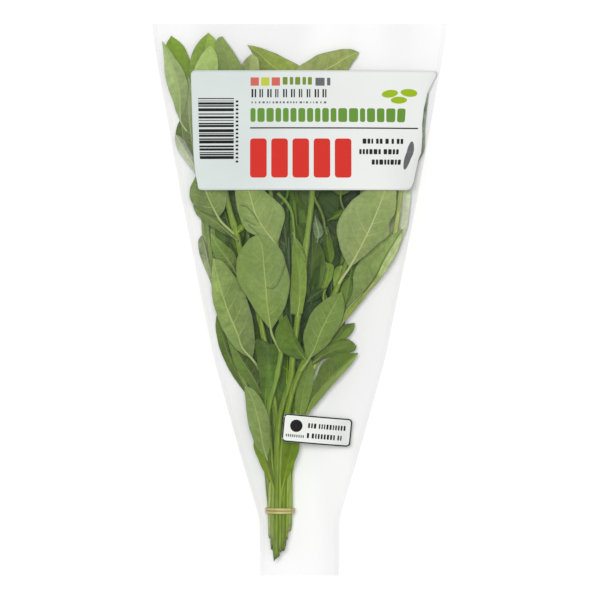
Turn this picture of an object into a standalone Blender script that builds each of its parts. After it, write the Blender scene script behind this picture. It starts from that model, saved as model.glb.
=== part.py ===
# Cut basil, bunched with a rubber band, lying in a clear tapered sleeve.
#
# The bunch lies on its back. Origin: middle of the footprint, on the surface it rests on.
# +Y runs along the sleeve towards its wide open mouth, +X to the right as seen from above,
# +Z up, away from the surface. Lengths in the tables are millimetres.

import math

import bmesh
import bpy
import numpy as np

MM = 0.001

# ---------------------------------------------------------------- driving dimensions (mm)
MOUTH_Y = 165.5            # wide open end of the sleeve
NECK_Y = -165.5            # narrow open end
# half width of the sleeve at stations along its length
HALF_WIDTHS = [(165.5, 88.5), (156, 87.7), (60, 70.5), (-36, 51.3), (-96, 34.5), (-132, 23.7), (-165.5, 23.7)]
FILM = 0.30                # film wall
SEAM = 3.0                 # width of the heat seal along each side
# clear height under the front film at stations along its length
CROWN = [(165.5, 10.0), (150, 12.0), (120, 18.0), (70, 23.0), (0, 26.0), (-60, 22.0), (-110, 18.0), (-140, 17.0), (-165.5, 14.0)]

LABEL_T = 0.25
LABEL_TOP, LABEL_BOTTOM = 137.0, 65.7
LABEL_LEFT = (-62.6, -60.4)         # left edge at the top and at the bottom
LABEL_RIGHT = [(65.7, 66.3), (73.1, 69.6), (89.9, 72.8), (124.7, 78.4), (137.0, 83.6)]
LABEL_CORNER = 3.0

STICKER_CENTRE = (11.1, -78.5)
STICKER_SIZE = (39.8, 17.2)
STICKER_TURN = math.radians(-4.0)
STICKER_CORNER = 2.0

BAND_Y = -126.0
BAND_THICK = 1.3           # radial thickness of the rubber
BAND_TALL = 3.8            # along the stems

LEAF_T = 0.6
PETIOLE_HALF = 1.0
GAP = 0.75                 # clearance kept when one piece is laid over another

# ---------------------------------------------------------------- leaves
# name, layer, base (x, y), tip (x, y), half width left and right of the midrib, sideways bow of
# the midrib, lower end of the petiole (x, y), height at base and tip, rise of the middle,
# rise of the left and right margins. Layers run from the back film to the front film.
LEAVES = [
    ("leaf_back_upper_left", 0, (-34, 48), (-46, 110), 16, 15, 1, (-31, 38), 2, 1.5, 2, -1, -1),
    ("leaf_back_left", 0, (-39, -5), (-50, 46), 10, 12, 1, (-35, -15), 2, 1.5, 2, -1, -1),
    ("leaf_back_centre", 0, (-16, -21), (-18, 42), 16, 14, 0, (-14, -32), 2, 2, 2, -1, -1),
    ("leaf_back_middle_right", 0, (3, -22), (14, 44), 15, 16, 0, (-1.5, -32), 2, 2, 2, -1, -1),
    ("leaf_back_right", 0, (25, -4), (43, 57), 15, 12, 1, (21, -14), 2, 1.5, 2, -1, -1),
    ("leaf_back_lower_left", 0, (-29, -44.5), (-42.5, -1.5), 9, 9, 1, (-25.5, -53), 2, 1.5, 2, -1, -1),
    ("leaf_back_upper_right", 0, (40, 52), (54, 112), 16, 14, 0, (36, 40), 2, 1.5, 2, -1, -1),

    ("leaf_rim_right_high", 1, (62.5, 67), (76, 123.5), 6, 3.5, 1, (58.5, 55), 3, 3, 2, -1, -1),
    ("leaf_rim_right_low", 1, (56, 21.5), (63, 84), 6, 5, 0, (49, 9.5), 4, 3, 3, -1, -2),
    ("leaf_rim_left_high", 1, (-59.5, 80), (-74, 109), 4, 4, 0, (-56, 73), 3, 3, 2, -1, -1),
    ("leaf_rim_left_grey", 1, (-46.5, -1), (-59.5, 38), 4.5, 5, 1, (-41.5, -11), 3, 2, 2, -1, -1),
    ("leaf_rim_left_low", 1, (-30.5, -56), (-49.5, -8), 5, 6, 2, (-25.5, -65), 3, 2, 3, -1, -1),
    ("leaf_top_behind_left", 1, (-58, 106.5), (-77, 158), 8, 8, -2, (-52.5, 94.5), 4, 3, 4, -1, -1),
    ("leaf_top_second", 1, (-49.5, 106.5), (-55, 160), 10, 9, 1, (-46.5, 94.5), 4, 3, 4, -1, -1),
    ("leaf_top_long_left", 1, (6.5, 124.5), (-31.5, 153), 5, 7, 2, (10, 112.5), 4, 3, 3, -1, -1),
    ("leaf_top_long_right", 1, (-7, 124.5), (35, 148.5), 7, 7, 0, (-9.5, 112.5), 5, 4, 4, -1, -1),

    ("leaf_lower_left_mid", 2, (-23.5, -59), (-43, -18), 5, 6, 1, (-22.5, -67.5), 9, 6, 3, -1, -1),
    ("leaf_left_bright", 2, (-37, 15), (-52, 37.5), 7, 6, 0, (-34, 7.5), 10, 8, 2, -1, -1),
    ("leaf_rim_left_fold", 2, (-59.5, 69.5), (-72.5, 96.5), 2.5, 4, -1, (-55, 61), 7, 3.5, 2, -1, 1),
    ("leaf_left_fold", 2, (-41, 40.5), (-65, 58), 7, 2, 0, (-36.5, 35), 10, 6, 2, -1, 1),
    ("leaf_right_small_upper", 2, (16, -29), (32.5, -14.5), 5, 4, 0, (8.5, -38.5), 9, 5, 2, -1, -1),
    ("leaf_right_small_point", 2, (6.5, -38.5), (34, -28.5), 6, 4, 0, (0.5, -47), 10, 6, 3, -1, -1),
    ("leaf_hanging_upper", 2, (17, 42), (19, 20), 4, 4, 0, (9.5, 58), 14, 12, 1, -1, -1),
    ("leaf_hanging_lower", 2, (14.5, -1), (16.5, 24), 3.5, 3.5, 0, (14, -11), 12, 14, 1, -1, -1),
    ("leaf_dark_centre", 2, (-20.5, -61), (-17, -19.5), 8, 7, 0, (-22.5, -70), 13, 14, 2, -1, -1),
    ("leaf_top_small", 2, (-29.5, 114), (-29, 147), 6, 6, 0, (-28.5, 103), 8, 5, 3, -1, -1),

    ("leaf_top_pale_left", 3, (-71, 105.5), (-82, 156), 3, 8.5, -1.5, (-64.5, 92), 6, 4, 3, -1, 1),
    ("leaf_top_fourth", 3, (-42.5, 104), (-46.5, 157.5), 8, 11, 0, (-39.5, 92), 12, 6, 4, -1, -1),
    ("leaf_top_front", 3, (-52, 103), (-53, 152), 10, 9, 0, (-48.5, 91), 14, 8, 4, -1, -1),
    ("leaf_left_upper", 3, (-49, 49), (-61.5, 96), 10, 8, 0, (-37.5, 36), 14, 10, 4, -1, -1),
    ("leaf_right_fold_low", 3, (4.5, -68), (35, -32), 7.5, 3, 3, (-1.5, -77), 13, 8, 3, -1, -2),
    ("leaf_behind_petiole", 3, (-3, -70), (5, -37.5), 5, 6, 0, (-4.5, -80), 14, 13, 2, -1, -1),

    ("leaf_bright_low", 4, (-8, -107.5), (2, -75), 3.5, 4, -1, (-8.5, -115.5), 17, 12, 2, -1, -1),
    ("leaf_centre_strip", 4, (0.5, -8), (-1.5, 36), 4, 4, 0, (-1.5, -18), 22, 22, 2, -1, -1),
    ("leaf_centre_narrow", 4, (0.5, -37.5), (-7, -8.5), 6.3, 3, 0, (-3.5, -46), 22, 21, 2, -1, -1),
    ("leaf_label_left", 4, (-7, 64.5), (-11, 114), 14, 14, 0, (-8, 52.5), 20, 16, 4, -1, -1),
    ("leaf_label_right", 4, (24.5, 62), (29, 112.5), 15, 15, 0, (20.5, 50), 20, 14, 4, -1, -1),
    ("leaf_right_outer", 4, (26, -13), (61.5, 43), 9, 5.5, 0, (20, -20.5), 14, 6, 5, 0, -3),

    ("leaf_right_big", 5, (28.5, 19.5), (54.5, 78), 17, 12, -1, (23, 7.5), 24, 18, 6, -2, -2),
    ("leaf_lower_right", 5, (7, -34.5), (25, 4), 11, 10, 0, (-0.5, -43.5), 24, 18, 4, -2, -2),
    ("leaf_lowest_left", 5, (-19.5, -95.5), (-32.5, -52), 5, 7.5, 0, (-17, -104.5), 18, 10, 3, -1, -2),
    ("leaf_left_large", 5, (-28, -35), (-52, 24.5), 4.5, 14, 4, (-22.5, -44.5), 20, 12, 5, -3, -2),
    ("leaf_upper_centre_left", 5, (-16.5, 36), (-37, 84), 12, 13, 0, (-13, 30), 26, 20, 5, -2, -2),
    ("leaf_front_centre", 5, (-16.5, -17.5), (-28, 38), 14, 14.7, -1, (-11, -32.5), 26, 24, 6, -2, -3),
]

# ---------------------------------------------------------------- stems
# name, layer, radius at the cut end and at the top, then points (x, y, z) from the cut end up.
STEMS = [
    ("stem_back_left", 0.5, 1.6, 1.2, [(-15, -149, 3.4), (-15.5, -126, 5.2), (-16.5, -107, 5.2), (-19, -84, 5.5), (-22.5, -63, 6), (-27.5, -43.5, 6), (-33.5, -21, 6), (-39.5, 3, 6), (-44, 27, 6), (-48.5, 51, 5), (-52.5, 75, 4), (-56.5, 97, 3)]),
    ("stem_back_right", 0.5, 1.6, 1.2, [(-8, -146, 3.4), (-7.5, -126, 5.2), (-7, -107, 5.2), (-4.5, -87, 5.5), (-1, -69, 6), (5, -51, 6), (12.5, -33, 6), (20, -13.5, 6), (28, 6, 6), (35, 25, 6), (41, 45, 5), (46, 66, 5), (50, 90, 4), (53, 111, 3)]),
    ("stem_left", 1.5, 1.6, 1.2, [(-17.5, -145, 7), (-17.5, -126, 8.8), (-19, -107, 8.6), (-21, -93, 8.6), (-24.5, -78, 8), (-28.5, -63, 7), (-32, -51, 7), (-37, -39, 7), (-41.5, -24, 7), (-46.5, -6, 7), (-51.5, 18, 6), (-54.5, 39, 6), (-56.5, 60, 6), (-59.5, 81, 5), (-64, 103, 4)]),
    ("stem_inner_left", 1.5, 1.6, 1.3, [(-13.5, -151.5, 7), (-13.5, -126, 8.8), (-14, -107, 8.8), (-15.5, -84, 9.4), (-17, -63, 10), (-19, -42, 10), (-21.5, -24, 10), (-25, 0, 10), (-28.5, 22.5, 10), (-31.5, 45, 9), (-34, 66, 8), (-35.5, 90, 6), (-37, 112.5, 5)]),
    ("stem_inner_right", 1.5, 1.6, 1.3, [(-9.5, -146.5, 7), (-9.5, -126, 8.8), (-9.5, -107, 8.8), (-8.5, -84, 9.4), (-7, -63, 10), (-5.5, -42, 10), (-5, -21, 10), (-5.5, 0, 10), (-6.5, 21, 10), (-7, 39, 9), (-7.5, 60, 8), (-8.5, 84, 6), (-10, 108, 5)]),
    ("stem_right", 1.5, 1.6, 1.2, [(-5.5, -139.5, 7.4), (-5.5, -126, 8.8), (-5.5, -107, 8.8), (-4, -93, 9.2), (-1.5, -78, 9.5), (2, -63, 9.5), (6.5, -51, 9), (11, -37.5, 8), (16, -21, 8), (20.5, -3, 8), (24.5, 18, 8), (28, 39, 8), (31.5, 60, 7), (34.5, 84, 6), (37, 108, 5)]),
    ("stem_middle", 1.7, 1.7, 1.5, [(-11.5, -149.5, 10.5), (-11.5, -126, 12.4), (-11.5, -107, 12.4), (-13.2, -84, 13.0), (-14.5, -63, 13.5), (-17.5, -45, 14), (-20, -30, 15), (-23, -15, 16), (-28.5, 6, 16), (-34, 25, 16), (-37, 37.5, 16), (-43, 58.5, 16), (-47, 81, 13), (-51.5, 103, 9), (-54.5, 121, 7)]),
    ("stem_upper_right", 1.7, 1.7, 1.4, [(-7.5, -145, 10.5), (-7.5, -126, 12.4), (-7, -107, 12.4), (-5.2, -90, 13), (-2.5, -75, 13.5), (1, -60, 14), (5.5, -47, 14), (11.5, -32.5, 13), (18.5, -22, 13), (26.5, -11.5, 12), (34, -3, 11), (41.5, 6.5, 10), (49.5, 17, 10), (55.5, 33, 10), (59.5, 57, 10), (62.5, 84, 8), (65, 109, 6)]),
    ("stem_upper_left", 2.5, 1.7, 1.3, [(-16.3, -148, 10.5), (-15.5, -126, 12.4), (-15.8, -107, 12.6), (-17.3, -90, 14), (-18.5, -72, 16.5), (-17.5, -62, 17.5), (-14.5, -51, 18.5), (-12.5, -41.5, 19), (-11, -30, 20), (-11, -12, 19), (-12.5, 9, 19), (-13.5, 31, 20), (-16.5, 57, 18), (-20, 87, 14), (-22.5, 112.5, 10)]),
    ("stem_front_left", 3.5, 1.8, 1.9, [(-14, -154, 14.0), (-13.5, -126, 16.0), (-13.6, -107, 16.2), (-13, -84, 17.2), (-11.5, -70, 19), (-8.5, -58.5, 20), (-5, -47, 21), (-4, -34, 22), (-2.5, -21, 22), (-1, -10, 22), (2, 12, 23), (4, 31.5, 24), (6.5, 54, 23), (8, 72, 21), (10, 96, 17), (11, 117.5, 12)]),
    ("stem_front_right", 3.5, 1.8, 1.3, [(-9.6, -151.5, 14.0), (-9.5, -126, 16.0), (-9.4, -107, 16.2), (-8.7, -84, 17), (-7.3, -69, 18), (-4, -54, 18), (1.5, -39, 18), (8.5, -21, 18), (16, -5, 18), (23, 8, 19), (30.5, 31, 18), (36.5, 57, 17), (40.5, 87, 14), (43, 112.5, 10)]),
]
BUNDLE_TOP_Y = -80.0       # below this the stems keep their places in the bundle

# ---------------------------------------------------------------- colours (linear)
GREENS = {0: (0.150, 0.230, 0.060), 1: (0.180, 0.270, 0.085), 2: (0.130, 0.235, 0.050),
          3: (0.205, 0.310, 0.105), 4: (0.190, 0.310, 0.080), 5: (0.225, 0.325, 0.105)}
STEM_COLOUR = (0.240, 0.330, 0.060)


# ---------------------------------------------------------------- helpers
def clear_scene():
    for obj in list(bpy.data.objects):
        bpy.data.objects.remove(obj, do_unlink=True)


def material(name, colour, roughness, alpha=1.0):
    mat = bpy.data.materials.new(name)
    mat.use_nodes = True
    bsdf = mat.node_tree.nodes["Principled BSDF"]
    bsdf.inputs["Base Color"].default_value = (*colour, 1.0)
    bsdf.inputs["Roughness"].default_value = roughness
    bsdf.inputs["Metallic"].default_value = 0.0
    bsdf.inputs["Alpha"].default_value = alpha
    mat.diffuse_color = (*colour, alpha)
    return mat


def station(table, y):
    pts = sorted(table)
    return float(np.interp(y, [p[0] for p in pts], [p[1] for p in pts]))


def half_width(y):
    return station(HALF_WIDTHS, y)


# What lies at each place of the footprint, as a map of top heights on a 1 mm grid. Each piece is
# laid on it in turn, from the back film to the front film, as they lie in the sleeve.
MAP_X, MAP_Y = 100, 175
top_of = np.full((2 * MAP_X + 1, 2 * MAP_Y + 1), FILM)


def map_index(x, y):
    ix = np.clip(np.rint(x + MAP_X).astype(int), 1, 2 * MAP_X - 1)
    iy = np.clip(np.rint(y + MAP_Y).astype(int), 1, 2 * MAP_Y - 1)
    return ix, iy


def record_top(x, y, top):
    ix, iy = map_index(x, y)
    for dx in (-1, 0, 1):
        for dy in (-1, 0, 1):
            np.maximum.at(top_of, (ix + dx, iy + dy), top)


def dense(grid, n=5):
    """Bilinear samples of a grid of points, with the corner weights of each sample."""
    rows, cols = grid.shape[:2]
    s = (np.arange(n) + 0.5) / n
    s = np.concatenate([[0.0], s, [1.0]])
    su, sv = np.meshgrid(s, s, indexing="ij")
    w = np.stack([(1 - su) * (1 - sv), su * (1 - sv), (1 - su) * sv, su * sv], -1).reshape(-1, 4)
    i, j = np.meshgrid(np.arange(rows - 1), np.arange(cols - 1), indexing="ij")
    i, j = i.ravel(), j.ravel()
    corner = np.stack([i * cols + j, (i + 1) * cols + j, i * cols + j + 1, (i + 1) * cols + j + 1], -1)
    return corner, w


def lay(grid, half, gap=GAP, steps=150, stiff=0.5):
    """Raise a sheet's points until it clears everything already laid under it."""
    rows, cols = grid.shape[:2]
    corner, w = dense(grid)
    flat = grid.reshape(-1, 3).copy()
    x = flat[corner][:, :, 0] @ w.T
    y = flat[corner][:, :, 1] @ w.T
    ix, iy = map_index(x, y)
    need = top_of[ix, iy] + gap + half
    lift = np.zeros(len(flat))
    for _ in range(steps):
        z = (flat[corner][:, :, 2] + lift[corner]) @ w.T
        short = need - z
        if short.max() < 0.02:
            break
        raised = lift.copy()
        for k in range(4):
            push = (w[:, k][None, :] * np.maximum(short, 0.0)).max(axis=1)
            np.maximum.at(raised, corner[:, k], lift[corner[:, k]] + 0.8 * push)
        field = raised.reshape(rows, cols)
        pad = np.pad(field, 1, mode="edge")
        near = (pad[:-2, 1:-1] + pad[2:, 1:-1] + pad[1:-1, :-2] + pad[1:-1, 2:]) / 4
        lift = np.maximum(field, stiff * near + (1 - stiff) * field).ravel()
    flat[:, 2] += lift
    z = flat[corner][:, :, 2] @ w.T
    record_top(x.ravel(), y.ravel(), (z + half).ravel())
    return flat.reshape(grid.shape)


def sheet_object(name, grid, thickness, mat, collection, offset=0.0):
    """A plane of quads moved onto the grid's points and thickened with Solidify."""
    rows, cols = grid.shape[:2]
    bm = bmesh.new()
    bmesh.ops.create_grid(bm, x_segments=cols - 1, y_segments=rows - 1, size=0.5)
    for v in bm.verts:
        j = int(round((v.co.x + 0.5) * (cols - 1)))
        i = int(round((v.co.y + 0.5) * (rows - 1)))
        v.co = grid[i, j] * MM
    mesh = bpy.data.meshes.new(name)
    bm.to_mesh(mesh)
    bm.free()
    obj = bpy.data.objects.new(name, mesh)
    collection.objects.link(obj)
    mesh.materials.append(mat)
    mesh.shade_smooth()
    solid = obj.modifiers.new("Solidify", "SOLIDIFY")
    solid.thickness = thickness * MM
    solid.offset = offset
    solid.use_even_offset = False
    return obj


# ---------------------------------------------------------------- leaves
BLADE = [0.0, 0.10, 0.24, 0.40, 0.57, 0.74, 0.89, 1.0]


def blade_width(t):
    """Half width along an ovate blade with a drawn-out tip, 1 at its widest."""
    w = math.sin(math.pi * min(1.0, t) ** 0.86) ** 0.85 if 0 < t < 1 else 0.0
    return w * (1.0 - 0.22 * max(0.0, (t - 0.7) / 0.3))


def leaf_grid(base, tip, wl, wr, bow, stalk, zb, zt, arch, rl, rr):
    base, tip, stalk = np.array(base, float), np.array(tip, float), np.array(stalk, float)
    along = tip - base
    length = np.hypot(*along)
    along /= length
    left = np.array([-along[1], along[0]])
    cols = [-1.0, -0.5, 0.0, 0.5, 1.0] if wl + wr > 19 else [-1.0, 0.0, 1.0]
    rows = []
    toward = base - stalk
    toward /= np.hypot(*toward)
    stalk_left = np.array([-toward[1], toward[0]])
    for f in (0.0, 0.5):
        p = stalk + (base - stalk) * f
        z = zb - 1.5 * (1 - f)
        rows.append([(*(p - stalk_left * PETIOLE_HALF * c), z) for c in cols])
    for t in BLADE:
        mid = base + along * length * t + left * bow * math.sin(math.pi * t)
        z = zb + (zt - zb) * t + arch * math.sin(math.pi * t)
        f = blade_width(t)
        row = []
        for c in cols:
            half = wl if c < 0 else wr
            edge = rl if c < 0 else rr
            reach = max(abs(c) * half * f, abs(c) * (PETIOLE_HALF if t < 0.5 else 0.45))
            p = mid + left * (reach if c < 0 else -reach)
            row.append((*p, z + edge * abs(c) ** 2 * f))
        rows.append(row)
    return np.array(rows, float)


def make_leaf(row, collection):
    name, layer, base, tip, wl, wr, bow, stalk, zb, zt, arch, rl, rr = row
    grid = lay(leaf_grid(base, tip, wl, wr, bow, stalk, zb, zt, arch, rl, rr), LEAF_T * 0.6)
    mat = material(name, GREENS[int(layer)], 0.55)
    return sheet_object(name, grid, LEAF_T, mat, collection)


# ---------------------------------------------------------------- stems
def smooth_path(points, spacing):
    """Catmull-Rom curve through the points, read off at even steps."""
    p = np.array([points[0]] + list(points) + [points[-1]], float)
    fine = []
    for k in range(1, len(p) - 2):
        for t in np.linspace(0, 1, 12, endpoint=False):
            a, b, c, d = p[k - 1], p[k], p[k + 1], p[k + 2]
            fine.append(0.5 * (2 * b + (c - a) * t + (2 * a - 5 * b + 4 * c - d) * t * t
                               + (3 * b - a - 3 * c + d) * t ** 3))
    fine.append(p[-1])
    fine = np.array(fine)
    run = np.concatenate([[0], np.cumsum(np.linalg.norm(np.diff(fine, axis=0), axis=1))])
    count = max(3, int(round(run[-1] / spacing)) + 1)
    at = np.linspace(0, run[-1], count)
    return np.stack([np.interp(at, run, fine[:, k]) for k in range(3)], -1)


def make_stem(row, collection):
    name, layer, r0, r1, points = row
    path = smooth_path(points, 13.0)
    n = len(path)
    radius = np.linspace(r0, r1, n)
    across = np.linspace(-1, 1, 5)
    t = np.linspace(0, n - 1, (n - 1) * 8 + 1)
    k = np.minimum(t.astype(int), n - 2)
    f = t - k
    lift = np.zeros(n)
    for _ in range(150):
        z = path[:, 2] + lift
        px = path[k, 0] * (1 - f) + path[k + 1, 0] * f
        py = path[k, 1] * (1 - f) + path[k + 1, 1] * f
        pz = z[k] * (1 - f) + z[k + 1] * f
        pr = radius[k] * (1 - f) + radius[k + 1] * f
        worst = np.zeros(len(t))
        for a in across:
            ix, iy = map_index(px + a * pr, py)
            under = pz - pr * math.sqrt(1 - a * a)
            worst = np.maximum(worst, top_of[ix, iy] + GAP - under)
        worst = np.where(py > BUNDLE_TOP_Y, worst, 0.0)
        if worst.max() < 0.02:
            break
        new = lift.copy()
        np.maximum.at(new, k, lift[k] + 0.8 * np.maximum(worst, 0) * (1 - f))
        np.maximum.at(new, k + 1, lift[k + 1] + 0.8 * np.maximum(worst, 0) * f)
        pad = np.pad(new, 1, mode="edge")
        ease = 0.5 * new + 0.25 * (pad[:-2] + pad[2:])
        new = np.where(path[:, 1] > BUNDLE_TOP_Y, np.maximum(new, ease), new)
        lift = new
    path[:, 2] += lift
    for a in across:
        px = path[k, 0] * (1 - f) + path[k + 1, 0] * f + a * (radius[k] * (1 - f) + radius[k + 1] * f)
        py = path[k, 1] * (1 - f) + path[k + 1, 1] * f
        pz = path[k, 2] * (1 - f) + path[k + 1, 2] * f
        pr = radius[k] * (1 - f) + radius[k + 1] * f
        record_top(px, py, pz + pr * math.sqrt(1 - a * a))

    curve = bpy.data.curves.new(name, "CURVE")
    curve.dimensions = "3D"
    curve.bevel_depth = MM
    curve.bevel_resolution = 2
    curve.use_fill_caps = True
    spline = curve.splines.new("POLY")
    spline.points.add(n - 1)
    for p, co, r in zip(spline.points, path, radius):
        p.co = (*(co * MM), 1.0)
        p.radius = float(r)
    obj = bpy.data.objects.new(name, curve)
    collection.objects.link(obj)
    curve.materials.append(material(name, STEM_COLOUR, 0.5))
    return obj, path, radius


# ---------------------------------------------------------------- rubber band
def hull(points):
    pts = sorted(set(map(tuple, points)))

    def chain(seq):
        out = []
        for p in seq:
            while len(out) > 1 and ((out[-1][0] - out[-2][0]) * (p[1] - out[-2][1])
                                    - (out[-1][1] - out[-2][1]) * (p[0] - out[-2][0])) <= 0:
                out.pop()
            out.append(p)
        return out

    lower, upper = chain(pts), chain(reversed(pts))
    return np.array(lower[:-1] + upper[:-1])


def make_band(crossings, collection):
    """A band stretched round the stems: their outline at the tie, drawn out by its thickness."""
    reach = BAND_THICK / 2 + 0.35
    ring = []
    for x, z, r in crossings:
        for a in np.linspace(0, 2 * math.pi, 24, endpoint=False):
            ring.append((round(x + (r + reach) * math.cos(a), 4), round(z + (r + reach) * math.sin(a), 4)))
    loop = hull(ring)
    loop = np.vstack([loop, loop[:1]])
    run = np.concatenate([[0], np.cumsum(np.linalg.norm(np.diff(loop, axis=0), axis=1))])
    at = np.linspace(0, run[-1], 33)[:-1]
    path = np.stack([np.interp(at, run, loop[:, 0]), np.interp(at, run, loop[:, 1])], -1)

    curve = bpy.data.curves.new("rubber_band", "CURVE")
    curve.dimensions = "3D"
    curve.bevel_depth = BAND_THICK / 2 * MM
    curve.bevel_resolution = 2
    spline = curve.splines.new("POLY")
    spline.points.add(len(path) - 1)
    for p, (x, z) in zip(spline.points, path):
        p.co = (x * MM, 0.0, z * MM, 1.0)
    spline.use_cyclic_u = True
    obj = bpy.data.objects.new("rubber_band", curve)
    obj.location.y = BAND_Y * MM
    obj.scale.y = BAND_TALL / BAND_THICK
    collection.objects.link(obj)
    curve.materials.append(material("rubber_band", (0.72, 0.53, 0.20), 0.6))
    for dy in np.linspace(-BAND_TALL / 2, BAND_TALL / 2, 6):
        record_top(path[:, 0], np.full(len(path), BAND_Y + dy), path[:, 1] + BAND_THICK / 2)
    return obj


# ---------------------------------------------------------------- sleeve
def make_back_film(collection):
    curve = bpy.data.curves.new("sleeve_back", "CURVE")
    curve.dimensions = "2D"
    curve.fill_mode = "BOTH"
    curve.extrude = FILM / 2 * MM
    outline = [(w, y) for y, w in HALF_WIDTHS] + [(-w, y) for y, w in reversed(HALF_WIDTHS)]
    spline = curve.splines.new("POLY")
    spline.points.add(len(outline) - 1)
    for p, (x, y) in zip(spline.points, outline):
        p.co = (x * MM, y * MM, 0.0, 1.0)
    spline.use_cyclic_u = True
    obj = bpy.data.objects.new("sleeve_back", curve)
    obj.location.z = FILM / 2 * MM
    collection.objects.link(obj)
    curve.materials.append(material("sleeve_back", (0.93, 0.94, 0.93), 0.15, 0.16))
    return obj


def taut(x, z):
    """Heights of a film pulled tight over the points of one cross-section."""
    pts = []
    for p in zip(x, z):
        while len(pts) > 1 and ((pts[-1][0] - pts[-2][0]) * (p[1] - pts[-2][1])
                                - (pts[-1][1] - pts[-2][1]) * (p[0] - pts[-2][0])) >= 0:
            pts.pop()
        pts.append(p)
    return np.interp(x, [p[0] for p in pts], [p[1] for p in pts])


def make_front_film(collection):
    cols = 21
    ys = np.linspace(NECK_Y, MOUTH_Y, 29)
    rest = FILM + 0.3 + FILM / 2          # the seal lies on the back film
    grid = np.zeros((len(ys), cols, 3))
    inner = np.sin(np.linspace(-1, 1, cols - 2) * math.pi / 2 * 0.96) / math.sin(math.pi / 2 * 0.96)
    for i, y in enumerate(ys):
        w = half_width(y)
        u = np.concatenate([[-w], inner * (w - SEAM), [w]])
        crown = station(CROWN, y)
        dome = crown * (1 - inner ** 2) ** 0.9
        z = np.concatenate([[0.0], dome, [0.0]]) + rest
        grid[i, :, 0], grid[i, :, 1], grid[i, :, 2] = u, y, z
    body = grid[:, 1:-1]
    before = top_of.copy()
    for _ in range(3):
        top_of[:] = before
        body = lay(body, FILM * 0.7, gap=0.8, stiff=0.8)
        for i in range(len(ys)):
            body[i, :, 2] = taut(body[i, :, 0], body[i, :, 2])
        eased = body[:, :, 2].copy()
        eased[1:-1] = 0.5 * eased[1:-1] + 0.25 * (eased[:-2] + eased[2:])
        body[:, :, 2] = np.maximum(body[:, :, 2], eased)
        body[:, 0, 2] = body[:, -1, 2] = rest
    grid[:, 1:-1] = body
    top_of[:] = before
    corner, w = dense(grid)
    flat = grid.reshape(-1, 3)
    x, y, z = (flat[corner][:, :, k] @ w.T for k in range(3))
    record_top(x.ravel(), y.ravel(), (z + FILM * 0.7).ravel())
    obj = sheet_object("sleeve_front", grid, FILM, material("sleeve_front", (0.93, 0.94, 0.93), 0.15, 0.16), collection)
    return obj


def rounded(cols, width, radius):
    """Distances across a panel, and how far its top and bottom pull in at each."""
    d = [0.0, radius * 0.3, radius]
    left = [c for c in d]
    inner = list(np.linspace(radius, width - radius, cols)[1:-1])
    right = [width - c for c in reversed(d)]
    xs = np.array(left + inner + right)
    near = np.minimum(xs, width - xs)
    pull = np.where(near < radius, radius - np.sqrt(np.maximum(radius ** 2 - (radius - near) ** 2, 0.0)), 0.0)
    return xs, pull


def make_label(collection):
    xs, pull = rounded(12, 1.0 * 140, LABEL_CORNER)
    rows = 8
    grid = np.zeros((rows, len(xs), 3))
    for j, (d, p) in enumerate(zip(xs / 140, pull)):
        for i in range(rows):
            v = i / (rows - 1)
            y = LABEL_BOTTOM + p + (LABEL_TOP - LABEL_BOTTOM - 2 * p) * v
            s = (y - LABEL_BOTTOM) / (LABEL_TOP - LABEL_BOTTOM)
            left = LABEL_LEFT[1] + (LABEL_LEFT[0] - LABEL_LEFT[1]) * s
            right = station(LABEL_RIGHT, y)
            grid[i, j] = (left + (right - left) * d, y, 0.0)
    grid = lay(grid, LABEL_T * 0.7, gap=0.45, stiff=0.3)
    return sheet_object("label", grid, LABEL_T, material("label", (0.70, 0.74, 0.73), 0.6), collection)


def make_sticker(collection):
    xs, pull = rounded(5, STICKER_SIZE[0], STICKER_CORNER)
    rows = 4
    c, s = math.cos(STICKER_TURN), math.sin(STICKER_TURN)
    grid = np.zeros((rows, len(xs), 3))
    for j, (d, p) in enumerate(zip(xs, pull)):
        for i in range(rows):
            v = i / (rows - 1)
            px = d - STICKER_SIZE[0] / 2
            py = -STICKER_SIZE[1] / 2 + p + (STICKER_SIZE[1] - 2 * p) * v
            grid[i, j] = (STICKER_CENTRE[0] + c * px - s * py, STICKER_CENTRE[1] + s * px + c * py, 0.0)
    grid = lay(grid, LABEL_T * 0.7, gap=0.45, stiff=0.3)
    return sheet_object("sticker", grid, LABEL_T, material("sticker", (0.78, 0.82, 0.79), 0.5), collection)


# ---------------------------------------------------------------- build
def main():
    clear_scene()
    bunch = bpy.data.collections.new("basil_bunch")
    bpy.context.scene.collection.children.link(bunch)

    make_back_film(bunch)
    crossings = []
    pieces = [(row[1], "leaf", row) for row in LEAVES] + [(row[1], "stem", row) for row in STEMS]
    for layer, kind, row in sorted(pieces, key=lambda p: p[0]):
        if kind == "leaf":
            make_leaf(row, bunch)
        else:
            _, path, radius = make_stem(row, bunch)
            k = int(np.argmin(np.abs(path[:, 1] - BAND_Y)))
            crossings.append((float(np.interp(BAND_Y, path[:, 1], path[:, 0])),
                              float(np.interp(BAND_Y, path[:, 1], path[:, 2])), float(radius[k])))
    make_band(crossings, bunch)
    make_front_film(bunch)
    make_label(bunch)
    make_sticker(bunch)


main()
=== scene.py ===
import math

import bpy
import numpy as np
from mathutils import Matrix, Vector
from mathutils.bvhtree import BVHTree


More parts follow.
